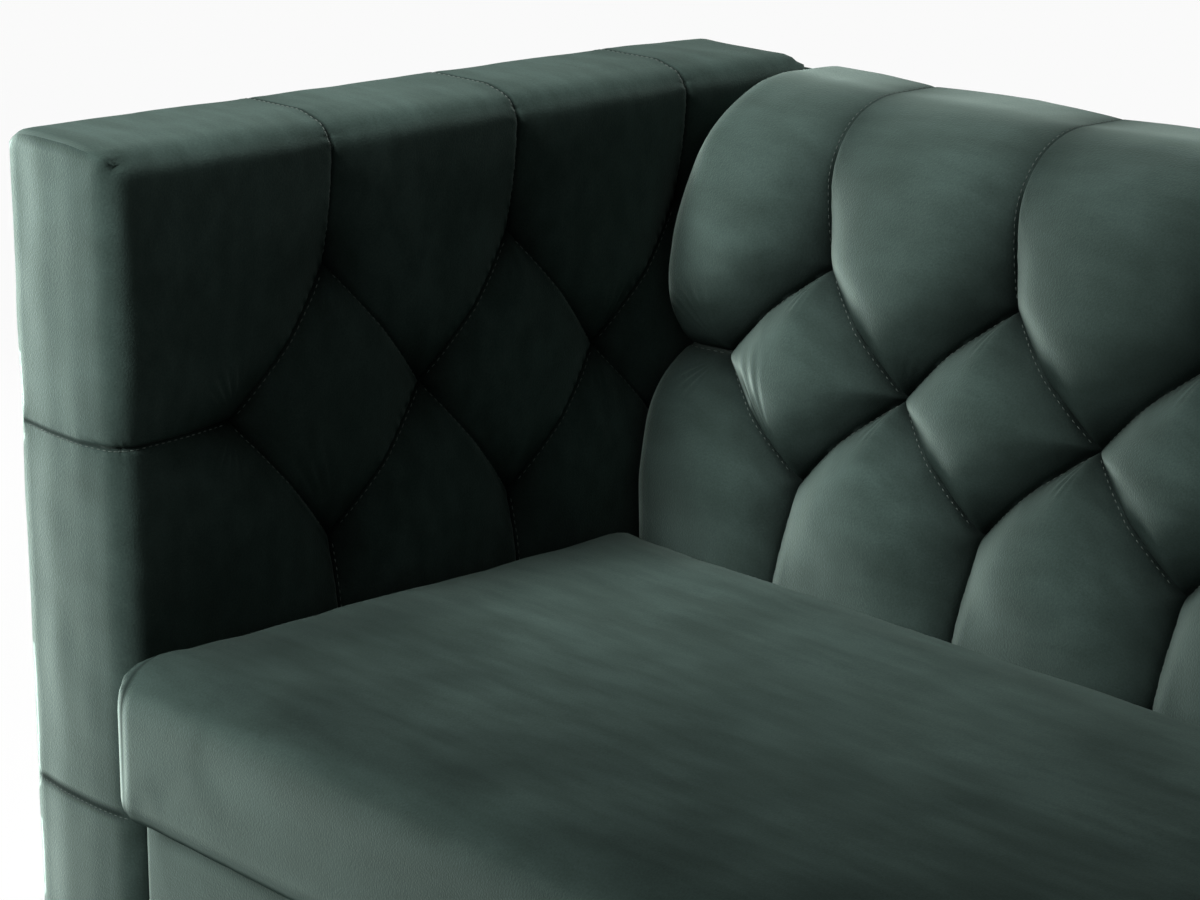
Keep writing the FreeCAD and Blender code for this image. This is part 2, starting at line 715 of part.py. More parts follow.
def back_lattice(start_z):
    """Tufts of the back, as many as its width takes, in the middle of it."""
    up = Vector(0, math.sin(lean), math.cos(lean))
    out = Vector(0, -math.cos(lean), math.sin(lean))
    origin = Vector(-back_half + rim, back_y(back_low), back_low) + up * rim
    width = 2 * (back_half - rim)
    height = (start_z - back_low) / math.cos(lean) - 2 * rim
    pitch = val("back_tuft_pitch")
    count = int((2 * inner_x - 2 * val("back_tuft_margin")) // pitch)
    first = (width - count * pitch) / 2
    rows = []
    for i in range(3):
        z = arm_top - val("back_row_drop") - val("back_row_pitch") * i
        rows.append((z - origin.z) / math.cos(lean))
    return Lattice(origin, ACROSS, up, out, width, height, first, pitch, count, rows)


section, roll_start = back_section()
section.translate(Vector(-back_half, 0, 0))
back_base = section.extrude(Vector(2 * back_half, 0, 0))
rear_edge = edges_at(back_base, [Vector(0, val("board_y"), back_top)])
back_base = back_base.makeFillet(val("back_rear_edge"), rear_edge)
tufts = back_lattice(roll_start)
crown = val("back_crown")
fields = tufted_fields(tufts, val("back_tuft_deep"), val("back_seam_deep"), crown, crown)
node(solid("back_quilt", sew_fields(back_base, tufts, fields)), "back_cover")


def back_ties(grow, toggles):
    """The tapes of the back, or the slits they pass through."""
    found = []
    cross_y = val("cross_y")
    for tuft in tufts.tufts():
        at = tufts.point(tuft, 0)
        xs = centred(at.x, tie_wide + 2 * grow)
        zs = centred(at.z, tie_thick + 2 * grow)
        front = back_y(at.z + tie_thick / 2) + val("back_pad") + layer / 2 - 4 * grow
        tie = box(xs, (front, cross_y + grow), zs)
        if toggles:
            bar = box(
                centred(at.x, toggle_long), (cross_y, cross_y + toggle_thick - layer), centred(at.z, toggle_thick)
            )
            tie = tie.fuse(bar).removeSplitter()
        found += tie.Solids
    return found


node(solid("back_tie_set", Part.makeCompound(back_ties(0.0, True))), "back_tuft_ties")
back_slits = Part.makeCompound(back_ties(tie_room, False))
sheet = block(
    "hessian_blank",
    ("-inner_x + layer_gap", "inner_x - layer_gap"),
    ("hessian_y", "cross_y"),
    ("upright_low - strap_wide", "back_timber_top"),
)
node(cut("hessian_cut", sheet, [solid("hessian_slits", back_slits)]), "back_hessian")
wedge = doc.addObject("PartDesign::Body", "wedge")
corners = [
    ("wedge_low_y", "deck_height"),
    ("hessian_y", "deck_height"),
    ("hessian_y", "back_timber_top"),
    ("wedge_top_y", "back_timber_top"),
]
wedge_outline = profile(wedge, "wedge_outline", "YZ_Plane", corners)
wedge_pad = wedge.newObject("PartDesign::Pad", "wedge_pad")
wedge_pad.Profile = wedge_outline
wedge_pad.SideType = "Symmetric"
wedge_pad.setExpression("Length", q("2 * (inner_x - layer_gap)"))
node(cut("wedge_cut", wedge, [solid("wedge_slits", back_slits)]), "back_foam")

# Front rail cover, springs and deck

node(
    block(
        "rail_velvet",
        ("-inner_x + layer_gap", "inner_x - layer_gap"),
        ("front_y + rail_recess", "frame_y"),
        ("frame_clear", "deck_height"),
    ),
    "front_rail_cover",
)

wire = val("spring_wire")
rail_top = val("rail_top")
spring_start = val("frame_y") + val("seat_rail_thick") * 0.25
spring_end = val("upright_y") - val("seat_rail_thick") * 0.25
clip_long = val("clip_long")


def spring_shape():
    """One sinuous spring: a wire that swings from side to side between its straight ends."""
    half = (val("spring_wide") - wire) / 2
    start = spring_start + clip_long + 2 * wire
    end = spring_end - clip_long - 2 * wire
    loops = 2 * int((end - start) / val("spring_loop") / 2) + 1
    step = (end - start) / loops
    level = rail_top + wire / 2
    path = [Vector(0, spring_start, level), Vector(0, start, level)]
    for i in range(loops):
        swing = half if i % 2 else -half
        path.append(Vector(swing, start + step * (i + 0.25), level))
        path.append(Vector(swing, start + step * (i + 0.75), level))
    path += [Vector(0, end, level), Vector(0, spring_end, level)]
    corners = [Vector(x, spring_start, z) for x, z in (
        (-wire / 2, level - wire / 2),
        (wire / 2, level - wire / 2),
        (wire / 2, level + wire / 2),
        (-wire / 2, level + wire / 2),
    )]
    square = Part.makePolygon(corners + corners[:1])
    pipe = Part.BRepOffsetAPI.MakePipeShell(Part.makePolygon(path))
    pipe.setBiNormalMode(Vector(0, 0, 1))
    pipe.setTransitionMode(1)
    pipe.add(square)
    pipe.build()
    pipe.makeSolid()
    return pipe.shape()


def clip_shape():
    """A clip that holds a spring's straight end down on its rail."""
    tall = wire + val("clip_thick")
    ys = (0, clip_long)
    shell = box(centred(0, val("clip_wide")), ys, (rail_top, rail_top + tall))
    channel = box(centred(0, wire + 2 * layer), ys, (rail_top, rail_top + wire + layer))
    return shell.cut(channel).Solids[0]


spring_count = int(2 * (inner_x - val("spring_wide")) // val("spring_pitch")) + 1
spring_xs = [val("spring_pitch") * (i - (spring_count - 1) / 2) for i in range(spring_count)]
spring = spring_shape()
clip = clip_shape()
springs = [spring.translated(Vector(x, 0, 0)) for x in spring_xs]
clips = []
for x in spring_xs:
    clips.append(clip.translated(Vector(x, spring_start - layer, 0)))
    clips.append(clip.translated(Vector(x, spring_end - clip_long + layer, 0)))
node(solid("spring_set", Part.makeCompound(springs)), "seat_springs")
node(solid("clip_set", Part.makeCompound(clips)), "spring_clips")

deck_deep = ("frame_y", "hessian_y - layer_gap")
for name, low, high in (
    ("deck_felt", "felt_low", "felt_low + deck_felt"),
    ("deck_pad", "felt_low + deck_felt", "deck_height - deck_cloth"),
    ("deck_cloth", "deck_height - deck_cloth", "deck_height"),
):
    node(block(name + "_sheet", long_span, deck_deep, (low, high)), name + "_layer")

# Legs, plates, bolts and glides


def leg(name, x, y):
    """A square leg that tapers to its foot, bored for its hanger bolt."""
    body = doc.addObject("PartDesign::Body", name + "_body")
    half = "leg_foot_half"
    corners = [("-" + half, "-" + half), (half, "-" + half), (half, half), ("-" + half, half)]
    foot = profile(body, name + "_foot", "XY_Plane", corners)
    taper = body.newObject("PartDesign::Pad", name + "_taper")
    taper.Profile = foot
    taper.setExpression("Length", q("leg_high - glide_thick"))
    taper.setExpression("TaperAngle", q("atan((leg_top - leg_foot) / 2 / (leg_high - glide_thick))"))
    for axis, formula in zip("xyz", (x, y, "glide_thick")):
        body.setExpression("Placement.Base." + axis, q(formula))
    low = "leg_high - bolt_in_leg - bolt_room"
    bore = rod(name + "_bore", "bolt_bore", "bolt_in_leg + bolt_room", (x, y, low))
    return node(cut(name + "_bored", body, [bore]), name)


plates = []
bolts = []
glides = []
windows = []
for name, x, y in LEG_SPOTS:
    leg(name, x, y)
    near = "plate_side / 2"
    plate = block(
        name + "_plate",
        (f"{x} - {near}", f"{x} + {near}"),
        (f"{y} - {near}", f"{y} + {near}"),
        ("leg_high", "frame_clear"),
    )
    hole = rod(name + "_plate_hole", "bolt_bore", "plate_thick", (x, y, "leg_high"))
    plates.append(cut(name + "_plate_cut", plate, [hole]))
    low = "leg_high - bolt_in_leg"
    bolts.append(rod(name + "_bolt", "bolt_diameter", "bolt_in_leg + plate_thick + bolt_in_rail", (x, y, low)))
    glides.append(rod(name + "_glide", "glide_diameter", "glide_thick", (x, y, "0")))
    room = "plate_side / 2 + layer_gap"
    windows.append(
        block(
            name + "_window",
            (f"{x} - ({room})", f"{x} + {room}"),
            (f"{y} - ({room})", f"{y} + {room}"),
            ("frame_clear - dust_thick", "frame_clear"),
        )
    )
node(group("plate_set", plates), "leg_plates")
node(group("hanger_set", bolts), "hanger_bolts")
node(group("glide_set", glides), "foot_glides")
cloth = block(
    "dust_blank",
    ("-board_x + dust_edge", "board_x - dust_edge"),
    ("frame_y - rail_recess + dust_edge", "board_y - dust_edge"),
    ("frame_clear - dust_thick", "frame_clear"),
)
node(cut("dust_cut", cloth, windows), "dust_cover")

dowels = []
for side in SIDES:
    for place in ("front_dowel_y", "rear_dowel_y"):
        dowels.append(dowel(f"{side}_{place}_peg", side, place, "0"))
node(group("dowel_set", dowels), "frame_dowels")

# Loose bench cushion: case, foam core and zip

cushion_half = inner_x - val("cushion_side_gap")
cushion_low = deck + layer
cushion_thick = val("cushion_thick")
cushion_edge = val("cushion_edge")
cushion_crown = val("cushion_crown")
case_thick = val("case_thick")


def plan_outline(z, inset):
    """The cushion's outline at one height: drawn-in ends, bowed front, straight rear."""
    x = cushion_half - inset
    front = front_y - val("cushion_end_overhang") + inset
    rear = back_y(z) - val("cushion_rear_gap") - inset
    radius = max(val("cushion_corner") - inset, cushion_edge / 2)
    across_share = (x - radius) / (cushion_half - val("cushion_corner"))
    bow = (val("cushion_overhang") - val("cushion_end_overhang")) * across_share**2
    along_share = 1 - 2 * inset / (rear - front + 2 * inset)
    draw = val("cushion_draw") * along_share**2
    near = radius * (1 - math.sqrt(0.5))
    p = [
        Vector(-x + radius, front, z),
        Vector(x - radius, front, z),
        Vector(x, front + radius, z),
        Vector(x, rear - radius, z),
        Vector(x - radius, rear, z),
        Vector(-x + radius, rear, z),
        Vector(-x, rear - radius, z),
        Vector(-x, front + radius, z),
    ]
    middle_y = (front + rear) / 2
    edges = [
        Part.Arc(p[0], Vector(0, front - bow, z), p[1]),
        Part.Arc(p[1], Vector(x - near, front + near, z), p[2]),
        Part.Arc(p[2], Vector(x - draw, middle_y, z), p[3]),
        Part.Arc(p[3], Vector(x - near, rear - near, z), p[4]),
        Part.LineSegment(p[4], p[5]),
        Part.Arc(p[5], Vector(-x + near, rear - near, z), p[6]),
        Part.Arc(p[6], Vector(-x + draw, middle_y, z), p[7]),
        Part.Arc(p[7], Vector(-x + near, front + near, z), p[0]),
    ]
    return Part.Wire([e.toShape() for e in edges])


EDGE_STEPS = 3


def cushion_shape():
    """The crowned cushion. Its edges are rounded in steps of a quarter circle, and the top rises
    from them in a shallow arch."""
    edge = cushion_edge
    turns = [math.pi / 2 * i / EDGE_STEPS for i in range(EDGE_STEPS + 1)]
    levels = [(edge * (1 - math.cos(turn)), edge * (1 - math.sin(turn))) for turn in turns]
    levels += [(cushion_thick - up, inset) for up, inset in reversed(levels)]
    for share in (0.35, 1):
        levels.append((cushion_thick + cushion_crown * (1 - (1 - share) ** 2), edge + val("crown_reach") * share))
    return Part.makeLoft([plan_outline(cushion_low + up, inset) for up, inset in levels], True, True)


def core_shape(room):
    """The foam block inside the case, bevelled along its edges and raised under the crown."""
    edge = cushion_edge
    wall = case_thick + room
    high = cushion_thick - 2 * wall
    levels = [(0, edge), (edge, 0), (high - edge, 0), (high, edge), (high + cushion_crown, edge + val("crown_reach"))]
    rings = []
    for up, inset in levels:
        z = cushion_low + wall + up
        x = cushion_half - val("cushion_draw") - wall - inset
        front = front_y - val("cushion_end_overhang") + wall + inset
        rear = back_y(z) - val("cushion_rear_gap") - wall - inset
        rings.append([Vector(-x, front, z), Vector(x, front, z), Vector(x, rear, z), Vector(-x, rear, z)])
    outlines = [rings[0], rings[-1]]
    for low, top in zip(rings, rings[1:]):
        for i in range(4):
            k = (i + 1) % 4
            outlines.append([low[i], low[k], top[k], top[i]])
    faces = [Part.Face(Part.makePolygon(corners + corners[:1])) for corners in outlines]
    shell = Part.makeShell(faces)
    shell.sewShape()
    block_solid = Part.Solid(shell)
    return block_solid if block_solid.Volume > 0 else block_solid.reversed()


zip_z = cushion_low + cushion_thick / 2
rear_face = Placement(Vector(0, back_y(zip_z) - val("cushion_rear_gap"), zip_z), Rotation(ACROSS, -math.degrees(lean)))


def on_rear(xs, outs, ups):
    """A block in the frame of the cushion's rear face."""
    corners = [Vector(x, out, ups[0]) for x, out in zip((xs[0], xs[1], xs[1], xs[0]), (outs[0], outs[0], outs[1], outs[1]))]
    corners = [rear_face.multVec(c) for c in corners]
    rise = rear_face.Rotation.multVec(Vector(0, 0, ups[1] - ups[0]))
    return Part.Face(Part.makePolygon(corners + corners[:1])).extrude(rise)


core_room = val("core_room")
sink = val("zip_sink")
zip_long = 2 * (cushion_half - val("zip_inset"))
zip_tall = val("zip_tall")
zip_tape = val("zip_tape")
slit = on_rear(centred(0, zip_long), (-2 * case_thick, case_thick), centred(0, zip_tall))
case = cushion_shape().cut(core_shape(0.0)).cut(slit)
node(solid("case", case.Solids[0]), "seat_cushion_cover")
node(solid("core", core_shape(core_room)), "seat_cushion_core")
tape = on_rear(
    centred(0, zip_long - 2 * layer), (-sink - zip_tape + layer, -sink), centred(0, zip_tall - 2 * layer)
)
node(solid("zip_tape_strip", tape), "cushion_zip_tape")
start = -zip_long / 2 + val("slider_end")
runner = on_rear(
    (start, start + val("slider_long")),
    (-sink + layer, -sink + layer + val("slider_thick")),
    centred(0, val("slider_tall")),
)
node(solid("runner", runner), "cushion_zip_slider")

# Build, test and write every piece

doc.recompute()
for piece in doc.Objects:
    if "Invalid" in piece.State or "Error" in piece.State:
        raise RuntimeError(f"{piece.Name} did not build: {piece.State}")
for piece in NODES:
    if piece.Shape.isNull() or not piece.Shape.isValid() or not piece.Shape.Solids:
        raise RuntimeError(f"{piece.Label} has no sound solid")
os.makedirs("parts", exist_ok=True)
for piece in NODES:
    piece.Shape.exportStep(f"parts/{piece.Label}.step")
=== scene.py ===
import json
import math
from contextlib import contextmanager

import bpy
import numpy as np
from mathutils import Matrix, Vector, noise


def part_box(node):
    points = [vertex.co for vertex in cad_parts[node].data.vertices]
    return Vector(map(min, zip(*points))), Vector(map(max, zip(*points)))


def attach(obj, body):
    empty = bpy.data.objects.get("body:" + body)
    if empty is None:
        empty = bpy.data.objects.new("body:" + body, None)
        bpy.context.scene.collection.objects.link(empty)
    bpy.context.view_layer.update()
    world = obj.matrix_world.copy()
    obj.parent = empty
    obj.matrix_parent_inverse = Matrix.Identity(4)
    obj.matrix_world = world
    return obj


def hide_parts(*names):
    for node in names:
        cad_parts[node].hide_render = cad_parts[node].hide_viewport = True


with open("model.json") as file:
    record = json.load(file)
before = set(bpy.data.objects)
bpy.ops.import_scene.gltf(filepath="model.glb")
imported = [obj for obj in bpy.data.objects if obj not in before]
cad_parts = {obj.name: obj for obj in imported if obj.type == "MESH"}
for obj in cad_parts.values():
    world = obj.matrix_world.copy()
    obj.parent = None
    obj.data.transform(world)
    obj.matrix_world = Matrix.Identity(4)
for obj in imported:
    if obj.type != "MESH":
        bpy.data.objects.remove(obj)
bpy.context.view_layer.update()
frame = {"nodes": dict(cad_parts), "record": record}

MM = 0.001

# Sizes of the sofa, in metres, as the frame has them
INNER_X = 0.905
ARM_OUT_X = 1.047
FRONT_Y = -0.378
REAR_Y = 0.399
FLOOR_GAP = 0.130
DECK_Z = 0.292
ARM_TOP = 0.840
BACK_TOP = 0.836
BACK_FOOT_Y = 0.158
BACK_LEAN = math.radians(10.65)
BACK_ROLL = 0.095
BACK_PAD = 0.042
TOP_PAD = 0.025
BACK_HALF = 0.9043

# Tufts of the back and of the arms
BACK_PITCH = 0.2125
BACK_COUNT = 8
BACK_ROWS_Z = (0.692, 0.597, 0.502)
ARM_PITCH = 0.200
ARM_FIRST = 0.125
ARM_ROWS_Z = (0.720, 0.602, 0.484)


def back_y(z):
    return BACK_FOOT_Y + (z - DECK_Z) * math.tan(BACK_LEAN)


# Helpers for objects


def only(piece):
    bpy.ops.object.select_all(action="DESELECT")
    piece.select_set(True)
    bpy.context.view_layer.objects.active = piece


@contextmanager
def editing(piece):
    only(piece)
    bpy.ops.object.mode_set(mode="EDIT")
    yield
    bpy.ops.object.mode_set(mode="OBJECT")


def linked(name, data):
    piece = bpy.data.objects.new(name, data)
    bpy.context.scene.collection.objects.link(piece)
    return piece


def from_lists(name, points, faces):
    mesh = bpy.data.meshes.new(name)
    mesh.from_pydata(np.asarray(points).tolist(), [], np.asarray(faces).tolist())
    mesh.update()
    return linked(name, mesh)


def smooth(piece, angle):
    only(piece)
    bpy.ops.object.shade_smooth_by_angle(angle=math.radians(angle))


def outward(piece):
    with editing(piece):
        bpy.ops.mesh.select_all(action="SELECT")
        bpy.ops.mesh.normals_make_consistent(inside=False)


def modify(piece, kind, **settings):
    """Adds a modifier with its settings and applies it."""
    only(piece)
    modifier = piece.modifiers.new("change", kind)
    for key, value in settings.items():
        setattr(modifier, key, value)
    bpy.ops.object.modifier_apply(modifier="change")


def unit_cube(name):
    bpy.ops.mesh.primitive_cube_add(size=1)
    piece = bpy.context.object
    piece.name = piece.data.name = name
    return piece


def split_near(piece, wanted):
    """Cuts the faces whose middle passes the test into four."""
    mesh = piece.data
    middles = np.empty(len(mesh.polygons) * 3, np.float32)
    mesh.polygons.foreach_get("center", middles)
    mesh.vertices.foreach_set("select", np.zeros(len(mesh.vertices), bool))
    mesh.edges.foreach_set("select", np.zeros(len(mesh.edges), bool))
    mesh.polygons.foreach_set("select", wanted(middles.reshape(-1, 3).astype(float)))
    with editing(piece):
        bpy.ops.mesh.select_mode(type="FACE")
        bpy.ops.mesh.subdivide(number_cuts=1)


def get_points(piece):
    co = np.empty(len(piece.data.vertices) * 3, np.float32)
    piece.data.vertices.foreach_get("co", co)
    return co.reshape(-1, 3).astype(float)


def set_points(piece, points):
    piece.data.vertices.foreach_set("co", np.asarray(points, np.float32).ravel())
    piece.data.update()


def point_attribute(piece, name, values):
    layer = piece.data.attributes.new(name, "FLOAT", "POINT")
    layer.data.foreach_set("value", np.asarray(values, np.float32))


def wobble(points, size, seed):
    """Smooth noise between about -1 and 1, with humps of the given size."""
    shift = Vector((seed * 7.3, seed * 3.1, seed * 5.7))
    return np.array([noise.noise(Vector(p) / size + shift) for p in points])


def ripples(points, sizes, heights, seed):
    """Uneven cloth: long low waves, with shorter ones on them."""
    long, short = (wobble(points, size, seed + i) for i, size in enumerate(sizes))
    return long * heights[0] + short * heights[1]


# Quilting: how far the velvet stands over its pad's plane, from seams and tufts

# How far from a tuft its pull is felt, and how sharply it ends
TUFT_PULL, TUFT_SHARP = 0.048, 1.25
# A pillow's section is this share of a round arc, and a softer curve for the rest
ARC_SHARE, SOFT_SHARE = 0.42, 0.58
# A seam's groove, the dark line in it, and the small puckers that its thread draws beside it
GROOVE_DEEP, GROOVE_WIDE, LINE_WIDE = 0.0016, 0.0022, 0.0026
PUCKER_HIGH, PUCKER_GAP, PUCKER_ASIDE = 0.0004, 0.011, 0.005
# Small faces near seams and tufts, in two rounds: reach from a seam and from a tuft
FINE_ROUNDS = ((0.010, 0.042), (0.0028, 0.024))


class Quilt:
    """Seams, tufts and fans of folds laid out flat. Distances are in metres along the cloth."""

    def __init__(self, tufts, seams, fans, tuft_deep, seam_deep, crown, reach, wide_reach):
        self.tufts = np.array(tufts)
        self.seams = np.array(seams)
        self.fans = fans
        self.tuft_deep, self.seam_deep, self.crown = tuft_deep, seam_deep, crown
        self.reach, self.wide_reach = reach, wide_reach

    def reach_at(self, flat):
        """From a seam to the top of its pillow: longer past the end rows, where it is wider."""
        low, high = self.tufts[:, 1].min(), self.tufts[:, 1].max()
        past = np.abs(flat[:, 1] - (low + high) / 2) - (high - low) / 2
        return self.reach + (self.wide_reach - self.reach) * ease((past + 0.03) / 0.10)

    def seam_distances(self, flat):
        found = []
        for a, b in self.seams:
            along = b - a
            share = np.clip(((flat - a) @ along) / (along @ along), 0, 1)
            found.append(np.hypot(*(flat - a - share[:, None] * along).T))
        return np.array(found)

    def tuft_distances(self, flat):
        return np.array([np.hypot(*(flat - t).T) for t in self.tufts])

    def height(self, flat):
        """Height over the plane, and how near a seam is, from 0 to 1."""
        far = self.seam_distances(flat)
        nearest = far.min(0)
        soft = (np.maximum(far, 1e-5) ** -5).sum(0) ** -0.2
        share = np.clip(soft / self.reach_at(flat), 0, 1)
        full = ARC_SHARE * np.sqrt(1 - (1 - share) ** 2) + SOFT_SHARE * np.sin(share * math.pi / 2)
        pulled = np.exp(-((self.tuft_distances(flat).min(0) / TUFT_PULL) ** TUFT_SHARP))
        deep = self.seam_deep + (self.tuft_deep - self.seam_deep) * pulled
        rise = -deep * (1 - full) + self.crown * full
        rise += self.folds(flat)
        pucker = np.sin(2 * math.pi * ((flat[:, 0] * 0.8 + flat[:, 1] * 0.6) / PUCKER_GAP))
        beside = np.exp(-(((nearest - PUCKER_ASIDE) / PUCKER_ASIDE) ** 2))
        rise += PUCKER_HIGH * pucker * beside
        rise -= GROOVE_DEEP * np.exp(-((nearest / GROOVE_WIDE) ** 2))
        return rise, np.exp(-((nearest / LINE_WIDE) ** 2))

    def painted_shade(self, flat):
        """How deep a point lies between the pillows, from 0 to 1, used as painted shade that
        darkens the velvet there.
        """
        rise, _ = self.height(flat)
        return np.clip((self.crown - rise) / (self.crown + self.tuft_deep), 0, 1) ** 1.1

    def fan_places(self, flat, fan):
        (x, y), middle, half, _, _, _, _ = fan
        far = np.hypot(flat[:, 0] - x, flat[:, 1] - y)
        turn = np.arctan2(flat[:, 1] - y, flat[:, 0] - x) - math.radians(middle)
        turn = (turn + math.pi) % (2 * math.pi) - math.pi
        return far, turn, turn / math.radians(half)

    def folds(self, flat):
        """Fine folds that run out of a tuft, each as high as its width allows."""
        total = np.zeros(len(flat))
        for fan in self.fans:
            gap, start, end, steep = fan[3:]
            far, turn, share = self.fan_places(flat, fan)
            ridge = np.cos(2 * math.pi * turn / math.radians(gap))
            long = end - start
            window = ease((far - start) / (0.3 * long)) * ease((end - far) / (0.6 * long))
            wide = np.minimum(far, 0.05) * math.radians(gap)
            total += steep * wide * ridge * window * np.exp(-(share ** 4))
        return total

    def fine(self, flat, seam_reach, tuft_reach):
        """Where the cloth needs small faces."""
        found = self.seam_distances(flat).min(0) < seam_reach
        found |= self.tuft_distances(flat).min(0) < tuft_reach
        for fan in self.fans:
            far, _, share = self.fan_places(flat, fan)
            found |= (np.abs(share) < 1.2) & (far > 0.8 * fan[4]) & (far < fan[5])
        return found


def ease(share):
    """From 0 to 1 with a soft start and end."""
    share = np.clip(share, 0, 1)
    return share * share * (3 - 2 * share)


# Fans of folds: direction, half spread and gap in degrees, start and end in metres from the
# tuft, steepness
LOWER_FAN = (244, 24, 14, 0.006, 0.048, 0.130)
UPPER_FAN = (60, 13, 10, 0.010, 0.055, 0.070)
LONG_FAN = (121, 17, 9.5, 0.016, 0.135, 0.130)
SHORT_FAN = (119, 15, 11, 0.010, 0.058, 0.100)
END_FAN = (112, 24, 13, 0.008, 0.065, 0.100)


def fans_for(high, middle, low):
    """Folds below the upper tufts, above the lower ones and beside the end ones, each different."""
    found = []
    for row, shapes in (
        (high, (LOWER_FAN,)),
        (middle, (LOWER_FAN, UPPER_FAN)),
        (low, (LONG_FAN, SHORT_FAN, SHORT_FAN)),
    ):
        for i, tuft in enumerate(row):
            vary = ((i + 1) * 0.618 + tuft[1] * 3) % 1
            chosen = shapes[:1 + i % 2] if row is middle else [shapes[i % len(shapes)]]
            for turn, half, gap, start, end, steep in chosen:
                turn, steep = turn + 12 * (vary - 0.5), steep * (0.6 + 0.7 * vary)
                found.append((tuft, turn, half, gap, start, end, steep))
    turn, *shape = END_FAN
    found.append((middle[0], turn, *shape))
    found.append((middle[-1], 180 - turn, *shape))
    return found


def lattice(first, pitch, count, rows, top, foot):
    """Tufts in three rows, the middle row half a pitch out, and the seams between them."""
    high = [(first + pitch * (i + 0.5), rows[0]) for i in range(count)]
    low = [(first + pitch * (i + 0.5), rows[2]) for i in range(count)]
    middle = [(first + pitch * i, rows[1]) for i in range(count + 1)]
    seams = []
    for i in range(count):
        for end in (middle[i], middle[i + 1]):
            seams += [(end, high[i]), (end, low[i])]
        seams += [(high[i], (high[i][0], top)), (low[i], (low[i][0], foot))]
    return high, middle, low, seams


def steps(*stops, size):
    """Places from stop to stop, with each stop kept and steps of about the given size."""
    found = [stops[0]]
    for a, b in zip(stops, stops[1:]):
        count = max(1, round(abs(b - a) / size))
        found += [a + (b - a) * (i + 1) / count for i in range(count)]
    return np.array(found)


# Back pad: a leaning face, a rolled top and a return over the top rail

ROLL_Z = BACK_TOP - BACK_ROLL + BACK_ROLL * math.sin(BACK_LEAN)
ROLL_Y = back_y(ROLL_Z) + BACK_ROLL * math.cos(BACK_LEAN)
FACE_LONG = (ROLL_Z - DECK_Z) / math.cos(BACK_LEAN)
ROLL_LONG = BACK_ROLL * (math.pi / 2 - BACK_LEAN)
REAR_ROOM = 0.010
TOP_LONG = REAR_Y - REAR_ROOM - ROLL_Y
BACK_LONG = FACE_LONG + ROLL_LONG + TOP_LONG
# Rounding of the pad's ends on the face, how much more on the roll, and at its foot
BACK_END_ROUND, BACK_ROLL_ROUND, BACK_FOOT_ROUND = 0.024, 0.018, 0.018
# On the roll the cloth is stretched: share of the quilting lost, and how far it lies lower
ROLL_LOST, ROLL_LOWER = 0.90, 0.004
# The sheet's turned-back border: room at the ends, and how far it is drawn in under the roll
BORDER_ROOM, BORDER_DRAWN = 0.004, 0.3


def back_place(across, up, rise):
    """From the cloth laid flat to the frame."""
    across, up, rise = (np.asarray(a, float) for a in (across, up, rise))
    turn = BACK_LEAN + np.clip((up - FACE_LONG) / BACK_ROLL, 0, math.pi / 2 - BACK_LEAN)
    face = np.minimum(up, FACE_LONG)
    face_y = BACK_FOOT_Y + face * math.sin(BACK_LEAN)
    face_z = DECK_Z + face * math.cos(BACK_LEAN)
    y = np.where(up < FACE_LONG, face_y, ROLL_Y - BACK_ROLL * np.cos(turn))
    z = np.where(up < FACE_LONG, face_z, BACK_TOP - BACK_ROLL + BACK_ROLL * np.sin(turn))
    y = y + np.maximum(up - FACE_LONG - ROLL_LONG, 0)
    return np.stack([across, y - np.cos(turn) * rise, z + np.sin(turn) * rise], 1)


back_rows = [(z - DECK_Z) / math.cos(BACK_LEAN) for z in BACK_ROWS_Z]
back_first = -BACK_PITCH * BACK_COUNT / 2
*back_tufts, back_seams = lattice(
    back_first, BACK_PITCH, BACK_COUNT, back_rows, BACK_LONG, 0.0
)
# from the end tufts of the middle row a seam runs out to each end
back_seams += [
    (back_tufts[1][0], (-BACK_HALF, back_rows[1])),
    (back_tufts[1][-1], (BACK_HALF, back_rows[1])),
]
back_quilt = Quilt(
    sum(back_tufts, []), back_seams, fans_for(*back_tufts),
    tuft_deep=0.040, seam_deep=0.015, crown=0.024, reach=0.068, wide_reach=0.100,
)


def rounded_drop(room, radius):
    """How far a rounded edge falls away, at a distance from it."""
    inside = np.clip(1 - room / radius, 0, 1)
    return radius * (1 - np.sqrt(1 - inside ** 2))


def back_rise(flat):
    """Height of the back's velvet over its plane, and how near a seam is."""
    rise, near = back_quilt.height(flat)
    on_roll = np.clip((flat[:, 1] - back_rows[0]) / (BACK_LONG - back_rows[0]), 0, 1)
    rise = rise * (1 - ROLL_LOST * ease(on_roll / 0.62)) - ROLL_LOWER * ease(on_roll / 0.5)
    # behind the cushion the pillows are pressed flatter
    above_seat = ease((flat[:, 1] - 0.10) / 0.10)
    rise = np.where(rise > 0, rise * (0.35 + 0.65 * above_seat), rise)
    room = BACK_HALF - np.abs(flat[:, 0])
    rise = rise - rounded_drop(room, BACK_END_ROUND + BACK_ROLL_ROUND * on_roll)
    rise = rise - rounded_drop(flat[:, 1], BACK_FOOT_ROUND)
    return rise, near


def back_surface(flat):
    """Points of the back's velvet in the frame, and how near a seam each is."""
    rise, near = back_rise(flat)
    soft = back_place(flat[:, 0], flat[:, 1], rise)
    waves = ripples(soft, (0.075, 0.030), (0.0012, 0.0005), 3)
    return back_place(flat[:, 0], flat[:, 1], rise + waves * (1 - near)), near


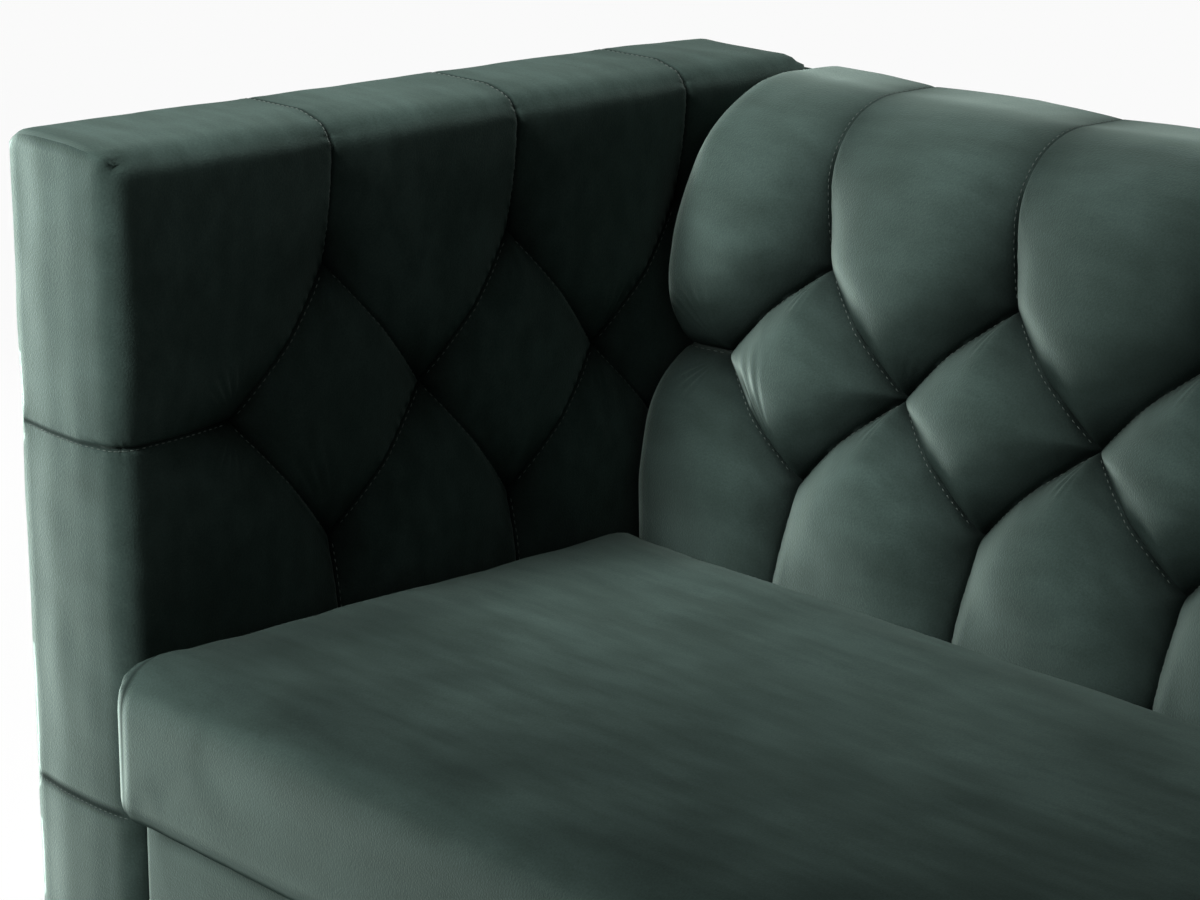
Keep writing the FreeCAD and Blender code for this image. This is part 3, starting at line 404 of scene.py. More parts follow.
def make_back_pad():
    """The back's velvet, its border turned behind the foam, its faces cut along the diamonds."""
    half = BACK_PITCH / 2
    size = half / 15
    tuft_columns = [back_first + half * i for i in range(2 * BACK_COUNT + 1)]
    across = steps(-BACK_HALF, *tuft_columns, BACK_HALF, size=size)
    levels = (*back_rows[::-1], FACE_LONG, FACE_LONG + ROLL_LONG, BACK_LONG)
    up = steps(0, *levels, size=size)
    columns, rows = len(across), len(up)
    flat = np.stack([np.repeat(across, rows), np.tile(up, columns), np.zeros(columns * rows)], 1)
    faces = []
    for i in range(columns - 1):
        block = int(math.floor((across[i] + across[i + 1] - 2 * back_first) / 2 / half))
        for j in range(rows - 1):
            a, b = i * rows + j, (i + 1) * rows + j
            c, d = b + 1, a + 1
            lower = (up[j] + up[j + 1]) / 2 < back_rows[1]
            if (block + lower) % 2 == 0:
                faces += [(a, b, c), (a, c, d)]
            else:
                faces += [(a, b, d), (b, c, d)]
    piece = from_lists("back_pad", flat, faces)
    for reach in FINE_ROUNDS:
        split_near(piece, lambda at: back_quilt.fine(at[:, :2], *reach))
    close_behind(piece)
    laid = get_points(piece)
    flat = laid[:, :2]
    soft, near = back_surface(flat)
    behind = laid[:, 2] < -0.5
    under = BACK_TOP - TOP_PAD
    turned = flat[:, 1] > FACE_LONG
    below, over = behind & ~turned, behind & turned
    plane = back_place(flat[:, 0], flat[:, 1], 0 * near)
    soft[behind, 0] = np.clip(soft[behind, 0], BORDER_ROOM - BACK_HALF, BACK_HALF - BORDER_ROOM)
    soft[below, 1] = (plane[:, 1] + BACK_PAD)[below]
    soft[over, 1] += BORDER_DRAWN * (np.maximum(soft[over, 1], ROLL_Y) - soft[over, 1])
    soft[over, 2] += BORDER_DRAWN * (BACK_TOP - BACK_ROLL - soft[over, 2])
    soft[over & (flat[:, 1] > FACE_LONG + ROLL_LONG), 2] = under
    soft[behind, 2] = np.clip(soft[behind, 2], DECK_Z + BORDER_ROOM, under)
    set_points(piece, soft)
    outward(piece)
    point_attribute(piece, "seam", np.where(behind, 0, near))
    # painted shade: the deeper the velvet lies between the pillows, the darker its colour
    point_attribute(piece, "painted_shade", back_quilt.painted_shade(flat))
    smooth(piece, 80)
    return piece


def close_behind(piece):
    """Turns the sheet's border back and closes it, marked by its level below the sheet."""
    with editing(piece):
        bpy.ops.mesh.select_mode(type="EDGE")
        bpy.ops.mesh.select_all(action="DESELECT")
        bpy.ops.mesh.select_non_manifold()
        bpy.ops.mesh.extrude_region_move(TRANSFORM_OT_translate={"value": (0, 0, -1)})
        bpy.ops.mesh.edge_face_add()


# Arm pads: a rounded block whose inner face is tufted


def block_grid(xs, ys, zs):
    """Points and faces on the surface of a block, with the given divisions along each side."""
    shape = (len(xs), len(ys), len(zs))
    index = np.indices(shape).reshape(3, -1)
    edge = [(index[k] == 0) | (index[k] == shape[k] - 1) for k in range(3)]
    kept = edge[0] | edge[1] | edge[2]
    number = np.full(shape, -1)
    number.reshape(-1)[kept] = np.arange(kept.sum())
    points = np.stack([xs[index[0][kept]], ys[index[1][kept]], zs[index[2][kept]]], 1)
    faces = []
    for k in range(3):
        for side in (0, -1):
            sheet = np.take(number, side, axis=k)
            a, b, c, d = sheet[:-1, :-1], sheet[1:, :-1], sheet[1:, 1:], sheet[:-1, 1:]
            quads = np.stack([a, b, c, d], -1).reshape(-1, 4)
            flip = (side == 0) == (k != 1)
            faces.append(quads[:, ::-1] if flip else quads)
    return points, np.concatenate(faces)


ARM_LOW = np.array([-ARM_OUT_X, FRONT_Y, FLOOR_GAP])
ARM_HIGH = np.array([-INNER_X, REAR_Y, ARM_TOP])
# Edges of an arm by the two faces that meet there, as axis and side, with their radius
ARM_EDGES = [
    ((0, 1), (2, 1), 0.026),
    ((0, 1), (1, 0), 0.022),
    ((1, 0), (2, 1), 0.010),
    ((0, 0), (1, 0), 0.005),
    ((0, 0), (2, 1), 0.010),
    ((1, 1), (2, 1), 0.022),
    ((0, 0), (1, 1), 0.006),
    ((0, 1), (1, 1), 0.016),
    *((side, (2, 0), 0.005) for side in ((0, 0), (0, 1), (1, 0), (1, 1))),
]


def rounded_block(points, low, high, edges):
    """Points moved onto a block with rounded edges, and the outward direction at each."""
    ends = (low, high)
    weights, total = np.zeros(len(points)), np.zeros(len(points))
    for (k, a), (m, b), radius in edges:
        far = np.hypot(points[:, k] - ends[a][k], points[:, m] - ends[b][m])
        weight = 1 / (far ** 2 + 1e-6) ** 2
        weights += weight
        total += weight * radius
    radius = (total / weights)[:, None]
    core = np.minimum(np.maximum(points, low + radius), high - radius)
    out = points - core
    out /= np.maximum(np.linalg.norm(out, axis=1), 1e-9)[:, None]
    return core + out * radius, out


ARM_COUNT = 3
# The back pad stands before what would come further to the rear than this
ARM_LAST = 0.64
# The seams of the inner face run on below the cushion
ARM_SEAMS_FOOT = DECK_Z - 0.02
# The seam across the arm's front, level with the deck
ARM_LOWER_SEAM = 0.290
ARM_STEP = 0.0075
# The velvet keeps clear of the back and the cushion by this much
ARM_CLEAR = 0.0004

arm_wide = ARM_OUT_X - INNER_X
*arm_tufts, arm_seams = lattice(
    ARM_FIRST, ARM_PITCH, ARM_COUNT, ARM_ROWS_Z, ARM_TOP + arm_wide, ARM_SEAMS_FOOT
)
arm_tufts = [[t for t in row if t[0] < ARM_LAST] for row in arm_tufts]
arm_seams = [s for s in arm_seams if max(s[0][0], s[1][0]) < ARM_LAST]
# from the first tuft of the middle row a seam runs round the arm's front
arm_seams += [(arm_tufts[1][0], (-arm_wide, ARM_ROWS_Z[1]))]
arm_quilt = Quilt(
    sum(arm_tufts, []), arm_seams, fans_for(*arm_tufts),
    tuft_deep=0.026, seam_deep=0.006, crown=0.0, reach=0.062, wide_reach=0.100,
)


def arm_flat(points):
    """An arm's cloth laid flat: from the arm's front along X, and up the inner face along Y."""
    flat = np.stack([points[:, 1] - FRONT_Y, points[:, 2]], 1)
    front = np.isclose(points[:, 1], FRONT_Y)
    top = np.isclose(points[:, 2], ARM_TOP)
    flat[front, 0] = (points[:, 0] + INNER_X)[front]
    flat[top, 1] = (ARM_TOP - INNER_X - points[:, 0])[top]
    return flat


def arm_covered(points):
    """True on the front, the inner face and the top."""
    inner = points[:, 0] > -INNER_X - 1e-6
    return inner | (points[:, 1] < FRONT_Y + 1e-6) | (points[:, 2] > ARM_TOP - 1e-6)


def arm_rise(flat, covered):
    """Height of an arm's velvet over its block, and how near a seam is."""
    rise, near = arm_quilt.height(flat)
    # round the edges the cloth is stretched, and little of the quilting is left
    off_face = np.clip(np.maximum(-flat[:, 0], flat[:, 1] - ARM_TOP) / 0.05, 0, 1)
    rise *= 1 - 0.85 * off_face
    lower = np.abs(flat[:, 1] - ARM_LOWER_SEAM)
    on_front = np.clip(-flat[:, 0] / 0.02, 0, 1)
    dent = np.exp(-((lower / 0.0055) ** 2)) * on_front
    rise -= 0.0022 * dent
    near = np.maximum(near, np.exp(-((lower / 0.0035) ** 2)) * on_front)
    # the front and the top swell a little, the top less towards the rear
    puff = 0
    at_rear = ease((REAR_Y - FRONT_Y - flat[:, 0]) / 0.16)
    swells = ((-flat[:, 0], 0.004, 0.4), (flat[:, 1] - ARM_TOP, 0.006, 0.16))
    for over, high, near_outside in swells:
        share = np.clip(over / arm_wide, 0, 1)
        puff = puff + high * ease(share / 0.4) * ease((1 - share) / near_outside) * at_rear
    return np.where(covered, rise + puff, 0), near * covered


def arm_surface(points, side):
    """Points of a plain block moved onto an arm's velvet, and how near a seam each is."""
    covered = arm_covered(points)
    rise, near = arm_rise(arm_flat(points), covered)
    placed, out = rounded_block(points, ARM_LOW, ARM_HIGH, ARM_EDGES)
    waves = ripples(placed, (0.090, 0.035), (0.0012, 0.0005), 11)
    rise = rise + np.where(covered, waves, 0) * (1 - near)
    placed += out * rise[:, None]
    placed[:, 0] = np.minimum(placed[:, 0], -INNER_X - ARM_CLEAR)
    if side == "right":
        placed[:, 0] *= -1
    return placed, near


def make_arm_pad(side):
    columns = [FRONT_Y + ARM_FIRST + ARM_PITCH / 2 * i for i in range(2 * ARM_COUNT)]
    xs = steps(-ARM_OUT_X, -INNER_X, size=ARM_STEP)
    ys = steps(FRONT_Y, *columns, REAR_Y, size=ARM_STEP)
    zs = steps(FLOOR_GAP, ARM_LOWER_SEAM, *ARM_ROWS_Z[::-1], ARM_TOP, size=ARM_STEP)
    piece = from_lists(f"{side}_arm_pad", *block_grid(xs, ys, zs))
    for reach in FINE_ROUNDS:
        split_near(piece, lambda at: arm_covered(at) & arm_quilt.fine(arm_flat(at), *reach))
    points = get_points(piece)
    laid = arm_flat(points)
    placed, near = arm_surface(points, side)
    set_points(piece, placed)
    outward(piece)
    point_attribute(piece, "seam", near)
    # painted shade: the deeper the velvet lies between the pillows, the darker its colour
    point_attribute(piece, "painted_shade", arm_quilt.painted_shade(laid) * (near > 0))
    smooth(piece, 60)
    return piece


# Stitches: a grain of thread each, beside the seam that it holds. Real ones are about 3 mm long
# and half as thick; they are drawn larger so that they show.

STITCH_PITCH = 6.5 * MM
STITCH_LONG = 4.4 * MM
STITCH_HALF = 0.5 * MM
STITCH_ASIDE = 2.0 * MM
STITCH_MARGIN = 7 * MM


def arm_block(flat):
    """From an arm's cloth laid flat to the plain block that it covers."""
    forward, over = np.minimum(flat[:, 0], 0), np.maximum(flat[:, 1] - ARM_TOP, 0)
    y, z = FRONT_Y + np.maximum(flat[:, 0], 0), np.minimum(flat[:, 1], ARM_TOP)
    return np.stack([-INNER_X + forward - over, y, z], 1)


def make_stitches(name, seams, surface):
    """One grain of thread, copied along the seams."""
    bpy.ops.mesh.primitive_ico_sphere_add(subdivisions=1, radius=1)
    grain = bpy.context.object
    middles, runs = [], []
    for a, b in seams:
        a, b = np.array(a, float), np.array(b, float)
        long = np.linalg.norm(b - a)
        along = (b - a) / long
        aside = np.array([-along[1], along[0]])
        aside *= -1 if aside[1] > 0 else 1
        for i in range(int((long - 2 * STITCH_MARGIN) / STITCH_PITCH)):
            down = STITCH_MARGIN + STITCH_PITCH * (i + 0.5)
            middles.append(a + along * down + aside * STITCH_ASIDE)
            runs.append(along)
    middles, runs = np.array(middles), np.array(runs)
    tips = [surface(middles + runs * STITCH_LONG / 2 * way) for way in (-1, 1)]
    across = np.stack([-runs[:, 1], runs[:, 0]], 1) * STITCH_HALF
    sides = [surface(middles + across * way) for way in (-1, 1)]
    axes = [tips[1] - tips[0], sides[1] - sides[0]]
    axes.append(np.cross(axes[0], axes[1]))
    axes = [axis / np.linalg.norm(axis, axis=1)[:, None] for axis in axes]
    shape = get_points(grain) * (STITCH_LONG / 2, STITCH_HALF, STITCH_HALF)
    centre = (tips[0] + tips[1]) / 2
    copies = centre[:, None] + sum(shape[None, :, k, None] * axes[k][:, None] for k in range(3))
    corners = np.array([list(face.vertices) for face in grain.data.polygons])
    faces = (corners[None] + len(shape) * np.arange(len(centre))[:, None, None]).reshape(-1, 3)
    piece = from_lists(name, copies.reshape(-1, 3), faces)
    bpy.data.objects.remove(grain)
    outward(piece)
    smooth(piece, 80)
    return piece


# Loose seat cushion

CUSHION_HALF = 0.902
CUSHION_FRONT = -0.402
CUSHION_REAR = 0.158
CUSHION_LOW = 0.2935
CUSHION_HIGH = 0.441
CUSHION_REAR_GAP = 0.0176
# The case starts this much smaller, and the stuffing swells it
CUSHION_INSET = 0.004
# Rounding of the edges, and the share of it at the front's top, the front's foot and elsewhere
CUSHION_ROUND, FRONT_TOP_SHARE, FRONT_FOOT_SHARE, EDGE_SHARE = 0.050, 0.9, 0.30, 0.34
CUSHION_FACE = 0.008
CUSHION_CROWN = 0.004
# The seam near each end: how far in, the width and depth of its dent, and its dark line
END_SEAM_IN, END_DENT_WIDE, END_DENT_DEEP, END_LINE_WIDE = 0.016, 0.005, 0.0022, 0.003
# The stuffing: frames of the simulation, its pressure, and the most that a point moves
SWELL_FRAMES, SWELL_PRESSURE, SWELL_MOST = 20, 4, 0.006


def make_seat_cushion():
    """A stuffed case: a block with rounded edges, swelled as cloth, then fitted over its core."""
    piece = unit_cube("seat_cushion")
    full_low = np.array([-CUSHION_HALF, CUSHION_FRONT, CUSHION_LOW])
    full_high = np.array([CUSHION_HALF, CUSHION_REAR, CUSHION_HIGH])
    inset = np.array([CUSHION_INSET, CUSHION_INSET, 0])
    low, high = full_low + inset, full_high - inset
    set_points(piece, get_points(piece) * (high - low) + (high + low) / 2)
    weights = piece.data.attributes.new("bevel_weight_edge", "FLOAT", "EDGE")
    for edge in piece.data.edges:
        a, b = (piece.data.vertices[i].co for i in edge.vertices)
        middle = (a + b) / 2
        at_end = abs(middle.x) > 0.5
        at_front = middle.y < -0.3
        at_top = middle.z > 0.4
        weight = EDGE_SHARE
        if at_front and not at_end:
            weight = FRONT_TOP_SHARE if at_top else FRONT_FOOT_SHARE
        weights.data[edge.index].value = weight
    modify(piece, "BEVEL", limit_method="WEIGHT", width=CUSHION_ROUND, segments=8)
    modify(piece, "REMESH", mode="VOXEL", voxel_size=CUSHION_FACE)
    swell(piece)
    moved = get_points(piece)
    # the filled cover is as large as its core, whatever the swelling did to its corners
    found_low, found_high = moved.min(0), moved.max(0)
    moved = full_low + (moved - found_low) / (found_high - found_low) * (full_high - full_low)
    across = np.clip(np.abs(moved[:, 0]) / CUSHION_HALF, 0, 1)
    deep = np.clip((moved[:, 1] - CUSHION_FRONT) / (CUSHION_REAR - CUSHION_FRONT), 0, 1)
    crown = (1 - across ** 6) * np.clip(np.sin(np.clip(deep * 1.08, 0, 1) * math.pi), 0, 1) ** 0.55
    upper = np.clip((moved[:, 2] - CUSHION_LOW) / (CUSHION_HIGH - CUSHION_LOW), 0, 1)
    moved[:, 2] += CUSHION_CROWN * crown * upper
    # the rear leans with the back and keeps clear of it
    moved[:, 1] = np.minimum(moved[:, 1], back_y(moved[:, 2]) - CUSHION_REAR_GAP)
    moved[:, 2] += ripples(moved, (0.110, 0.045), (0.0014, 0.0006), 21) * upper
    # a seam runs round the case near each end, and its thread pulls the velvet in
    from_seam = np.abs(moved[:, 0]) - CUSHION_HALF + END_SEAM_IN
    on_shell = np.abs(moved[:, 0]) < CUSHION_HALF - CUSHION_INSET
    centre = np.array([0, (CUSHION_FRONT + CUSHION_REAR) / 2, (CUSHION_LOW + CUSHION_HIGH) / 2])
    toward = centre - moved
    toward[:, 0] = 0
    toward /= np.maximum(np.linalg.norm(toward, axis=1), 1e-6)[:, None]
    dent = END_DENT_DEEP * np.exp(-((from_seam / END_DENT_WIDE) ** 2)) * on_shell
    set_points(piece, moved + toward * dent[:, None])
    point_attribute(piece, "seam", np.exp(-((from_seam / END_LINE_WIDE) ** 2)) * on_shell)
    # painted shade on top: the velvet's colour is darkened, most of all towards the front, in
    # uneven patches like nap marks
    marks = wobble(moved, 0.150, 25) + 0.6 * wobble(moved, 0.055, 26)
    top_shade = np.clip(0.54 - 0.50 * deep ** 0.7 + 0.20 * marks, 0, 0.85)
    point_attribute(piece, "painted_shade", top_shade * ease((upper - 0.80) / 0.18))
    only(piece)
    bpy.ops.object.shade_smooth()
    return piece


def swell(piece):
    """Lets the stuffing press the cloth out, and caps how far a point moves."""
    start = get_points(piece)
    scene = bpy.context.scene
    only(piece)
    cloth = piece.modifiers.new("stuffing", "CLOTH")
    for key, value in {
        "quality": 4, "mass": 0.3, "use_pressure": True, "uniform_pressure_force": SWELL_PRESSURE,
        "tension_stiffness": 30, "compression_stiffness": 30, "bending_stiffness": 0.6,
    }.items():
        setattr(cloth.settings, key, value)
    cloth.settings.effector_weights.gravity = 0
    cloth.collision_settings.use_collision = False
    cloth.point_cache.frame_start = 1
    cloth.point_cache.frame_end = SWELL_FRAMES
    for number in range(1, SWELL_FRAMES + 1):
        scene.frame_set(number)
    bpy.ops.object.modifier_apply(modifier="stuffing")
    scene.frame_set(1)
    step = get_points(piece) - start
    length = np.linalg.norm(step, axis=1)
    capped = np.tanh(length / SWELL_MOST) * SWELL_MOST
    step *= (capped / np.maximum(length, 1e-9))[:, None]
    set_points(piece, start + step)


# Plain covers

PANEL_STEP, PANEL_THIN_STEP = 0.02, 0.004
# Small faces along a panel's rim, so that its rounded edge is smooth
PANEL_RIM = np.array([1, 2, 4, 8]) * MM
PANEL_ROUND = 0.006
PANEL_RIPPLE = 0.0009


def make_panel(name, low, high, thin, puff, seed):
    """A plain stretched cover: a thin block with soft edges, a slight swell and faint ripples."""
    low, high = np.array(low), np.array(high)
    wide = [k for k in range(3) if k != thin]
    places = [steps(a, b, size=PANEL_STEP) for a, b in zip(low, high)]
    places[thin] = steps(low[thin], high[thin], size=PANEL_THIN_STEP)
    for k in wide:
        places[k] = np.unique(np.concatenate([places[k], low[k] + PANEL_RIM, high[k] - PANEL_RIM]))
    points, faces = block_grid(*places)
    radius = min((high - low)[thin] * 0.45, PANEL_ROUND)
    edges = [((k, a), (m, b), radius)
             for k in range(3) for m in range(k + 1, 3) for a in (0, 1) for b in (0, 1)]
    placed, out = rounded_block(points, low, high, edges)
    swell_share = np.ones(len(points))
    for k in wide:
        share = np.clip((points[:, k] - low[k]) / (high[k] - low[k]), 0, 1)
        swell_share *= np.sin(share * math.pi) ** 0.5
    rise = swell_share * (puff + wobble(placed, 0.16, seed) * PANEL_RIPPLE)
    outer = np.zeros(3)
    outer[thin] = np.sign((low + high)[thin])
    facing = np.clip(out @ outer, 0, 1)
    placed += out * (rise * facing)[:, None]
    piece = from_lists(name, placed, faces)
    outward(piece)
    point_attribute(piece, "seam", np.zeros(len(points)))
    smooth(piece, 50)
    return piece


# Sheets of lining cloth under the seat and under the sofa

SHEET_STEP = 0.025


def make_sheet(name, low, high, level, thick, sag, seed, holes=()):
    """A stretched sheet, let down a little between its edges, with a hole for each leg."""
    inner = [sorted({h[k] for h in holes} | {h[k + 2] for h in holes}) for k in range(2)]
    inner = [[e for e in inner[k] if low[k] < e < high[k]] for k in range(2)]
    xs, ys = (steps(low[k], *inner[k], high[k], size=SHEET_STEP) for k in range(2))
    flat = np.full(len(xs) * len(ys), level)
    points = np.stack([np.repeat(xs, len(ys)), np.tile(ys, len(xs)), flat], 1)
    faces = []
    for i in range(len(xs) - 1):
        for j in range(len(ys) - 1):
            x, y = (xs[i] + xs[i + 1]) / 2, (ys[j] + ys[j + 1]) / 2
            if not any(h[0] < x < h[2] and h[1] < y < h[3] for h in holes):
                a = i * len(ys) + j
                faces.append((a, a + len(ys), a + len(ys) + 1, a + 1))
    share = [np.sin((points[:, k] - low[k]) / (high[k] - low[k]) * math.pi) for k in range(2)]
    points[:, 2] -= sag * (share[0] * share[1]) ** 0.5 * (1 + 0.5 * wobble(points, 0.12, seed))
    piece = from_lists(name, points, faces)
    with editing(piece):
        bpy.ops.mesh.select_all(action="SELECT")
        bpy.ops.mesh.delete_loose()
    modify(piece, "SOLIDIFY", thickness=thick, offset=-1)
    smooth(piece, 50)
    return piece


# Zip at the rear of the seat cushion


def zip_block(name, size, x, out, up, rounding):
    """A block with rounded edges on the zip, which leans with the cushion's rear."""
    piece = unit_cube(name)
    set_points(piece, get_points(piece) * size)
    modify(piece, "BEVEL", width=rounding, segments=2)
    lean = Matrix.Rotation(-BACK_LEAN, 4, "X")
    piece.data.transform(Matrix.Translation((x, *on_zip(out, up))) @ lean)
    return piece


ZIP_LONG = 1.4994
ZIP_WIDE = 0.0155
ZIP_Y, ZIP_Z = 0.15345, 0.35885
# Teeth of such a zip are about 1.5 mm apart, drawn at 2.5 mm so that they show
TOOTH_PITCH = 2.5 * MM
TEETH_LEFT_OUT = 4
# Parts of the slider: size, how far along and out, rounding, all in millimetres
SLIDER_PARTS = {
    "body": ((13, 2.0, 8.6), 0, 3.0, 0.7),
    "bridge": ((8, 1.4, 2.4), 0, 4.5, 0.5),
    "pull": ((14, 0.9, 4.6), 8, 5.2, 0.4),
}


def on_zip(out, up):
    """A point on the zip: out from the cushion, and up its slope."""
    return (ZIP_Y + out * math.cos(BACK_LEAN) + up * math.sin(BACK_LEAN),
            ZIP_Z - out * math.sin(BACK_LEAN) + up * math.cos(BACK_LEAN))


def make_zip():
    """Two tapes, the teeth between them, and a slider with its pull."""
    size = (ZIP_LONG, 0.8 * MM, ZIP_WIDE / 2 - 0.5 * MM)
    tape = joined("zip_tape", [
        zip_block("strip", size, 0, 0.4 * MM, way * ZIP_WIDE / 4, 0.2 * MM) for way in (-1, 1)
    ])
    count = int(ZIP_LONG / TOOTH_PITCH) - TEETH_LEFT_OUT
    start = -TOOTH_PITCH * (count - 1) / 2
    tooth = (1.5 * MM, 1.4 * MM, 3.4 * MM)
    teeth = zip_block("zip_teeth", tooth, start, 1.1 * MM, 0, 0.3 * MM)
    modify(teeth, "ARRAY", count=count, use_relative_offset=False, use_constant_offset=True,
           constant_offset_displace=(TOOTH_PITCH, 0, 0))
    low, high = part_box("cushion_zip_slider")
    x = (low[0] + high[0]) / 2
    slider = joined("zip_slider_pull", [
        zip_block(part, [s * MM for s in size], x + along * MM, out * MM, 0, rounding * MM)
        for part, (size, along, out, rounding) in SLIDER_PARTS.items()
    ])
    return tape, teeth, slider


def joined(name, pieces):
    only(pieces[0])
    for piece in pieces:
        piece.select_set(True)
    bpy.ops.object.join()
    pieces[0].name = pieces[0].data.name = name
    smooth(pieces[0], 40)
    return pieces[0]


# Finishes


def linear(code):
    """A linear colour from an sRGB hex value."""
    found = []
    for i in (0, 2, 4):
        value = int(code[i:i + 2], 16) / 255
        found.append(value / 12.92 if value <= 0.04045 else ((value + 0.055) / 1.055) ** 2.4)
    return (*found, 1.0)


def per_metre(size_mm):
    """A pattern's scale from its real size."""
    return 1000.0 / size_mm


def empty_tree(owner):
    owner.use_nodes = True
    owner.node_tree.nodes.clear()
    return owner.node_tree


def new_finish(name):
    material = bpy.data.materials.new(name)
    return material, empty_tree(material)


def put(tree, kind, settings=None, inputs=None):
    """Adds a node with its settings, and values or links for its sockets."""
    node = tree.nodes.new(kind)
    for key, value in (settings or {}).items():
        setattr(node, key, value)
    for key, value in (inputs or {}).items():
        socket = node.inputs[key]
        if isinstance(value, bpy.types.NodeSocket):
            tree.links.new(value, socket)
        else:
            socket.default_value = value
    return node


def noise_at(tree, place, size_mm, **settings):
    """Soft noise at a real size, from 0 to 1."""
    inputs = {"Vector": place, "Scale": per_metre(size_mm), **settings}
    return put(tree, "ShaderNodeTexNoise", None, inputs).outputs["Fac"]


def calculated(tree, operation, a, b):
    return put(tree, "ShaderNodeMath", {"operation": operation}, {0: a, 1: b}).outputs[0]


def mapped(tree, value, **limits):
    """A value from one range to another, by limits such as From_Max."""
    inputs = {key.replace("_", " "): limit for key, limit in limits.items()}
    return put(tree, "ShaderNodeMapRange", None, {"Value": value, **inputs}).outputs[0]


def blended(tree, share, a, b):
    inputs = {"Factor": share, "A": a, "B": b}
    return put(tree, "ShaderNodeMix", {"data_type": "RGBA"}, inputs).outputs["Result"]


def bumped(tree, height, strength, high):
    inputs = {"Height": height, "Strength": strength, "Distance": high}
    return put(tree, "ShaderNodeBump", None, inputs).outputs["Normal"]


def attribute(tree, name):
    return put(tree, "ShaderNodeAttribute", {"attribute_name": name}).outputs["Fac"]


def surface(tree, inputs):
    shader = put(tree, "ShaderNodeBsdfPrincipled", None, inputs)
    put(tree, "ShaderNodeOutputMaterial", None, {"Surface": shader.outputs["BSDF"]})


def make_velvet(name):
    """Cotton velvet: a dense cut pile, dark face on and pale where it is seen edge on.

    The points of a piece hold what this needs: "seam" is the line of a seam, another value is
    painted shade that darkens the velvet between the pillows and on the cushion's top, and "shine"
    is how much of the sheen is left.
    """
    material, tree = new_finish(name)
    place = put(tree, "ShaderNodeTexCoord").outputs["Object"]
    # nap marks: patches a hand wide, with strokes across them
    marks = noise_at(tree, place, 140, Detail=4.0, Roughness=0.6)
    stretched = put(tree, "ShaderNodeMapping", None, {
        "Vector": place, "Rotation": (0.3, 0.2, 0.6), "Scale": (1.0, 5.0, 3.0)})
    strokes = noise_at(tree, stretched.outputs["Vector"], 90, Detail=3.0)
    nap = calculated(tree, "MULTIPLY", marks, strokes)
    nap = mapped(tree, nap, From_Min=0.12, From_Max=0.40)
    cloth = blended(tree, nap, linear("2b3733"), linear("364440"))
    # seams are darker, and painted shade darkens the velvet between the pillows and on the
    # cushion's top
    line = calculated(tree, "MULTIPLY", attribute(tree, "seam"), 0.7)
    shade_painted = calculated(tree, "MULTIPLY", attribute(tree, "painted_shade"), 0.9)
    dark = calculated(tree, "MAXIMUM", line, shade_painted)
    shaded = blended(tree, dark, cloth, linear("0e1211"))
    # pile tufts are about half a millimetre across, drawn at 1.6 mm so that they show
    pile = noise_at(tree, place, 1.6, Detail=2.0)
    normal = bumped(tree, pile, 0.35, 0.8 * MM)
    fleck = mapped(tree, pile, To_Min=0.72, To_Max=1.28)
    tone = put(tree, "ShaderNodeVectorMath", {"operation": "SCALE"}, {0: shaded, "Scale": fleck})
    # the pile's tips shine where the cloth turns away from the eye
    turned = put(tree, "ShaderNodeLayerWeight", None, {"Blend": 0.5, "Normal": normal})
    tips = mapped(tree, turned.outputs["Facing"], From_Min=0.08, From_Max=0.66)
    tips = calculated(tree, "MULTIPLY", tips, attribute(tree, "shine"))
    # down in a seam and under the painted shade the sheen is turned down
    lively = mapped(tree, dark, From_Max=0.6, To_Min=1.0, To_Max=0.15)
    tips = calculated(tree, "MULTIPLY", tips, lively)
    surface(tree, {
        "Base Color": tone.outputs["Vector"], "Roughness": 0.85, "IOR": 1.45,
        "Specular IOR Level": 0.0, "Sheen Weight": tips, "Sheen Roughness": 0.5,
        "Sheen Tint": linear("e2fbf0"), "Normal": normal,
    })
    return material


def make_plain(
    name, dark, pale, size_mm, rough, stretch=(1, 1, 1), metal=0.0, bump_mm=0.2, spec=0.4
):
    """A finish from two tones of one material, broken up at its own grain size."""
    material, tree = new_finish(name)
    place = put(tree, "ShaderNodeTexCoord").outputs["Object"]
    along = put(tree, "ShaderNodeMapping", None, {"Vector": place, "Scale": stretch})
    grain = noise_at(tree, along.outputs["Vector"], size_mm, Detail=5.0)
    inputs = {
        "Base Color": blended(tree, grain, linear(dark), linear(pale)),
        "Roughness": rough, "Metallic": metal, "Normal": bumped(tree, grain, 0.3, bump_mm * MM),
    }
    if not metal:
        inputs["Specular IOR Level"] = spec
    surface(tree, inputs)
    return material


# A wave texture turns 20 radians in one unit, so that its threads lie 2 pi times the given size
# apart: some 9 to 16 mm here, far coarser than real ones, so that they show
WAVE_TURNS = 20


def make_weave(name, dark, pale, thread_mm):
    """Plain woven cloth: two crossing sets of threads, with thicker and thinner places."""
    material, tree = new_finish(name)
    place = put(tree, "ShaderNodeTexCoord").outputs["Object"]
    warp, weft = (
        put(tree, "ShaderNodeTexWave", {"bands_direction": way},
            {"Vector": place, "Scale": per_metre(thread_mm) / WAVE_TURNS}).outputs["Fac"]
        for way in "XY"
    )
    cross = calculated(tree, "MULTIPLY", warp, weft)
    slub = noise_at(tree, place, 30, Detail=4.0)
    share = mapped(tree, calculated(tree, "ADD", cross, slub), From_Min=0.3, From_Max=1.4)
    surface(tree, {
        "Base Color": blended(tree, share, linear(dark), linear(pale)), "Roughness": 0.9,
        "Specular IOR Level": 0.2, "Normal": bumped(tree, cross, 0.4, 0.4 * MM),
    })
    return material


